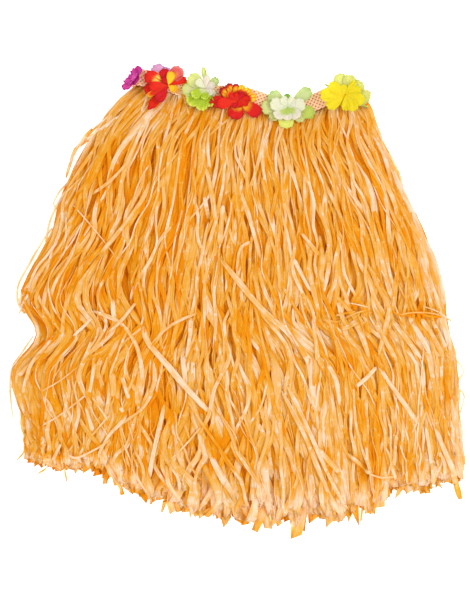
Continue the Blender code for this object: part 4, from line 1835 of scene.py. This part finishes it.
    def _frame(self) -> Matrix:
        """Return the matrix from the flower's own axes to the skirt's."""
        face = Vector(self.faces).normalized()
        side = Vector(self.top).cross(face).normalized()
        axes = Matrix((side, face.cross(side), face)).transposed()
        return Matrix.Translation(Vector(self.place) * MM) @ axes.to_4x4()


FLOWERS = (
    Flower(
        "flower_red_left", "petal_red", "#a00c16", (-90, 277, 11.2),
        petals(
            (328, 14, 0, Dye.GOLD, 34), (20, 25, 1, Dye.RED, 17), (54, 28, 4, Dye.PINK_TIP, 32),
            (108, 22, 2, Dye.CRIMSON, 30), (156, 33, 2, Dye.GOLD_SPOT, 27),
            (192, 32, 1, Dye.RED, 24), (231, 42, 1, Dye.RED, 20, 0.3),
        ),
        petals(
            (322, 11, 0, Dye.GOLD, 34), (74, 18, 0, Dye.GOLD, 28), (124, 12, 1, Dye.CRIMSON, 24),
            (186, 25, 1, Dye.RED, 24), (209, 31, 1, Dye.GOLD_TIP, 10),
            (238, 26, 1, Dye.CRIMSON, 24),
        ),
        bowl=5.0, relief=0.6, seed=3,
    ),
    Flower(
        "flower_lime", "petal_lime", "#f2f7d8", (-41, 273, 11.2),
        petals(
            (36, 20, 3, Dye.PALE_GREEN, 28), (97, 27, 5, Dye.LIME_PALE, 12),
            (146, 27, 1, Dye.LIME_PALE, 34), (186, 31, 1, Dye.LIME_PALE, 26),
            (222, 31, 1, Dye.LIME, 28), (256, 30, 2, Dye.LIME, 26), (286, 25, 1, Dye.LIME, 20),
            (322, 14, 0, Dye.CREAM, 34),
        ),
        petals(
            (24, 13, 1, Dye.CREAM, 36), (86, 17, 2, Dye.CREAM, 26), (140, 16, 1, Dye.BLUSH, 34),
            (212, 21, 1, Dye.LIME, 28), (262, 15, 1, Dye.LIME, 34), (316, 12, 1, Dye.CREAM, 36),
        ),
        seed=5,
    ),
    Flower(
        "flower_red_centre", "petal_red", "#a00c16", (1, 257, 11.2),
        petals(
            (12, 24, 1, Dye.GOLD_RIM, 22), (44, 22, 1, Dye.GOLD_RIM, 24),
            (74, 21, 2, Dye.GOLD_RIM, 20), (100, 22, 2, Dye.GOLD_BAND, 20),
            (124, 26, 1, Dye.GOLD_BAND, 20), (148, 28, 1, Dye.GOLD_BAND, 22),
            (184, 37, 0, Dye.RED, 20), (257, 25, 1, Dye.GOLD_HEART, 42),
            (328, 34, 0, Dye.GOLD_HEART, 25),
        ),
        petals(
            (8, 15, 1, Dye.RED, 26), (56, 12, 1, Dye.CRIMSON, 32), (104, 11, 1, Dye.RED, 28),
            (146, 17, 1, Dye.RED_FOLD, 26), (192, 29, 1, Dye.RED, 24),
            (236, 12, 1, Dye.CRIMSON, 32), (292, 10, 1, Dye.RED, 34), (338, 14, 1, Dye.RED, 28),
        ),
        bowl=5.0, relief=0.6, seed=8,
    ),
    Flower(
        "flower_pale", "petal_pale", "#ffffff", (65, 248, 11.2),
        petals(
            (38, 38, 4, Dye.PALE_GREEN, 21), (92, 18, 2, Dye.GREEN, 24),
            (142, 30, 2, Dye.PALE_GREEN, 30), (180, 34, 1, Dye.LIME_PALE, 26),
            (212, 27, 1, Dye.LIME_PALE, 24), (264, 27, 0, Dye.LEMON, 36),
            (322, 27, 1, Dye.LIME_PALE, 24), (346, 36, 1, Dye.LEAF, 22),
        ),
        petals(
            (10, 23, 1, Dye.BLUSH, 36), (56, 15, 1, Dye.BLUSH, 36), (116, 15, 1, Dye.BLUSH, 36),
            (166, 23, 1, Dye.BLUSH, 36), (218, 21, 1, Dye.BLUSH_GREEN, 36),
            (268, 17, 1, Dye.BLUSH_GREEN, 36), (318, 20, 1, Dye.BLUSH_GREEN, 36),
        ),
        bowl=4.0, relief=0.5, seed=11,
    ),
    Flower(
        "flower_yellow", "petal_yellow", "#ffffc8", (140, 265, 11.2),
        petals(
            (30, 27, 2, Dye.PALE_LIME, 34), (72, 26, 3, Dye.PALE_LIME, 34),
            (110, 28, 3, Dye.PALE_LIME, 30), (154, 32, 1, Dye.LEAF, 9, 0.5),
            (262, 16, 0, Dye.YELLOW, 40), (329, 38, 0, Dye.LEAF, 7, 0.6),
            (352, 33, 1, Dye.PALE_LIME, 26),
        ),
        petals(
            (14, 21, 0, Dye.YELLOW, 30), (54, 21, 2, Dye.YELLOW, 17),
            (104, 13, 0, Dye.YELLOW, 36), (150, 25, 1, Dye.YELLOW, 30),
            (184, 33, 2, Dye.YELLOW, 26), (216, 30, 2, Dye.YELLOW, 26),
            (270, 22, 2, Dye.YELLOW, 22), (300, 25, 2, Dye.YELLOW, 28),
            (336, 26, 2, Dye.YELLOW, 30),
        ),
        bowl=4.5, relief=0.55, seed=13,
    ),
    Flower(
        "flower_purple", "petal_purple", "#f08ae8", (-134.5, 285.5, 8.6),
        petals(
            (12, 20, 2, Dye.PURPLE), (88, 15, 1, Dye.PURPLE), (168, 18, 2, Dye.PURPLE),
            (228, 10, 1, Dye.PURPLE), (306, 10, 1, Dye.PURPLE),
        ),
        petals(
            (50, 13, 1, Dye.PURPLE), (120, 12, 1, Dye.PURPLE), (196, 12, 1, Dye.PURPLE),
            (268, 7, 1, Dye.PURPLE), (340, 12, 1, Dye.PURPLE),
        ),
        faces=(-0.6, 0.44, 0.67), top=(0.0, 0.0, 1.0), bowl=5.0, seed=17,
    ),
    Flower(
        "flower_lilac", "petal_lilac", "#f6eefa", (-98, 284, 0.8),
        petals(
            (2, 15, 0, Dye.LILAC), (64, 19, 3, Dye.LILAC, 34), (112, 23, 5, Dye.LILAC, 38),
            (150, 18, 0, Dye.LILAC, 24), (190, 15, 0, Dye.LILAC),
        ),
        bowl=0.0, seed=19,
    ),
)


# ---------------------------------------------------------------- studio


@dataclass
class Lamp:
    """A soft box: where it hangs, in metres, its side, its power and its colour."""

    name: str
    place: tuple[float, float, float]
    side: float
    watts: float
    colour: str = "#ffffff"


@dataclass
class Studio:
    """The white ground, the soft lights and the camera straight above the skirt."""

    ground_side: float = 12.0
    camera_height: float = 2.6
    view_middle: tuple[float, float] = (-0.00325, -0.00195)
    view_height: float = 0.78
    aimed_z: float = 0.012
    sensor: float = 24.0
    sky: str = "#ffffff"
    sky_strength: float = 0.96
    lamps: tuple[Lamp, ...] = (
        Lamp("key_lamp", (1.6, 0.5, 2.0), 1.0, 28.0, "#fffaf4"),
        Lamp("fill_lamp", (-1.6, 0.2, 1.8), 1.4, 11.0),
        Lamp("front_lamp", (0.4, -1.8, 1.6), 1.2, 14.0),
    )

    def make(self, finish: GroundFinish) -> None:
        """Set the skirt's surroundings.

        Args:
            finish: The ground's finish.
        """
        deselect()
        bpy.ops.mesh.primitive_plane_add(size=self.ground_side, location=(0, 0, -0.0005))
        ground = bpy.context.object
        ground.name = "studio_ground"
        bpy.ops.object.transform_apply(location=True)
        ground.data.materials.append(finish.make())
        ground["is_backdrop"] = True
        for lamp in self.lamps:
            self._hang(lamp)
        world = bpy.data.worlds.new("studio_sky")
        world.use_nodes = True
        sky = world.node_tree.nodes["Background"]
        sky.inputs["Color"].default_value = linear(self.sky)
        sky.inputs["Strength"].default_value = self.sky_strength
        bpy.context.scene.world = world
        view = bpy.context.scene.view_settings
        view.view_transform, view.look = "Standard", "None"
        self._camera()

    def _hang(self, lamp: Lamp) -> None:
        """Hang a soft box and aim it at the middle of the skirt.

        Args:
            lamp: The soft box.
        """
        light = bpy.data.lights.new(lamp.name, "AREA")
        light.energy, light.size = lamp.watts, lamp.side
        light.color = linear(lamp.colour)[:3]
        box = bpy.data.objects.new(lamp.name, light)
        box.location = lamp.place
        box.rotation_euler = (-Vector(lamp.place)).to_track_quat("-Z", "Y").to_euler()
        bpy.context.scene.collection.objects.link(box)

    def _camera(self) -> None:
        """Look straight down, with the waist at the top."""
        data = bpy.data.cameras.new("studio_camera")
        data.sensor_fit = "VERTICAL"
        data.sensor_height = self.sensor
        data.lens = self.sensor * (self.camera_height - self.aimed_z) / self.view_height
        camera = bpy.data.objects.new("studio_camera", data)
        camera.location = (*self.view_middle, self.camera_height)
        bpy.context.scene.collection.objects.link(camera)
        bpy.context.scene.camera = camera


# ---------------------------------------------------------------- the skirt


def main() -> None:
    """Build the raffia, the waistband and the flowers, and set them in the studio."""
    logging.basicConfig(level=logging.INFO, format="%(name)s: %(message)s")
    lie = Lie()
    fringe = Raffia(lie, Heap(lie)).make(RaffiaFinish())
    Waistband(lie).make(PlaitFinish(), fringe)
    for flower in FLOWERS:
        flower.make()
    Studio().make(GroundFinish())
    boxes = {"cad": CAD_BOX, "visual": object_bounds()}
    plain = {name: [[float(x) for x in corner] for corner in box] for name, box in boxes.items()}


if __name__ == "__main__":
    main()
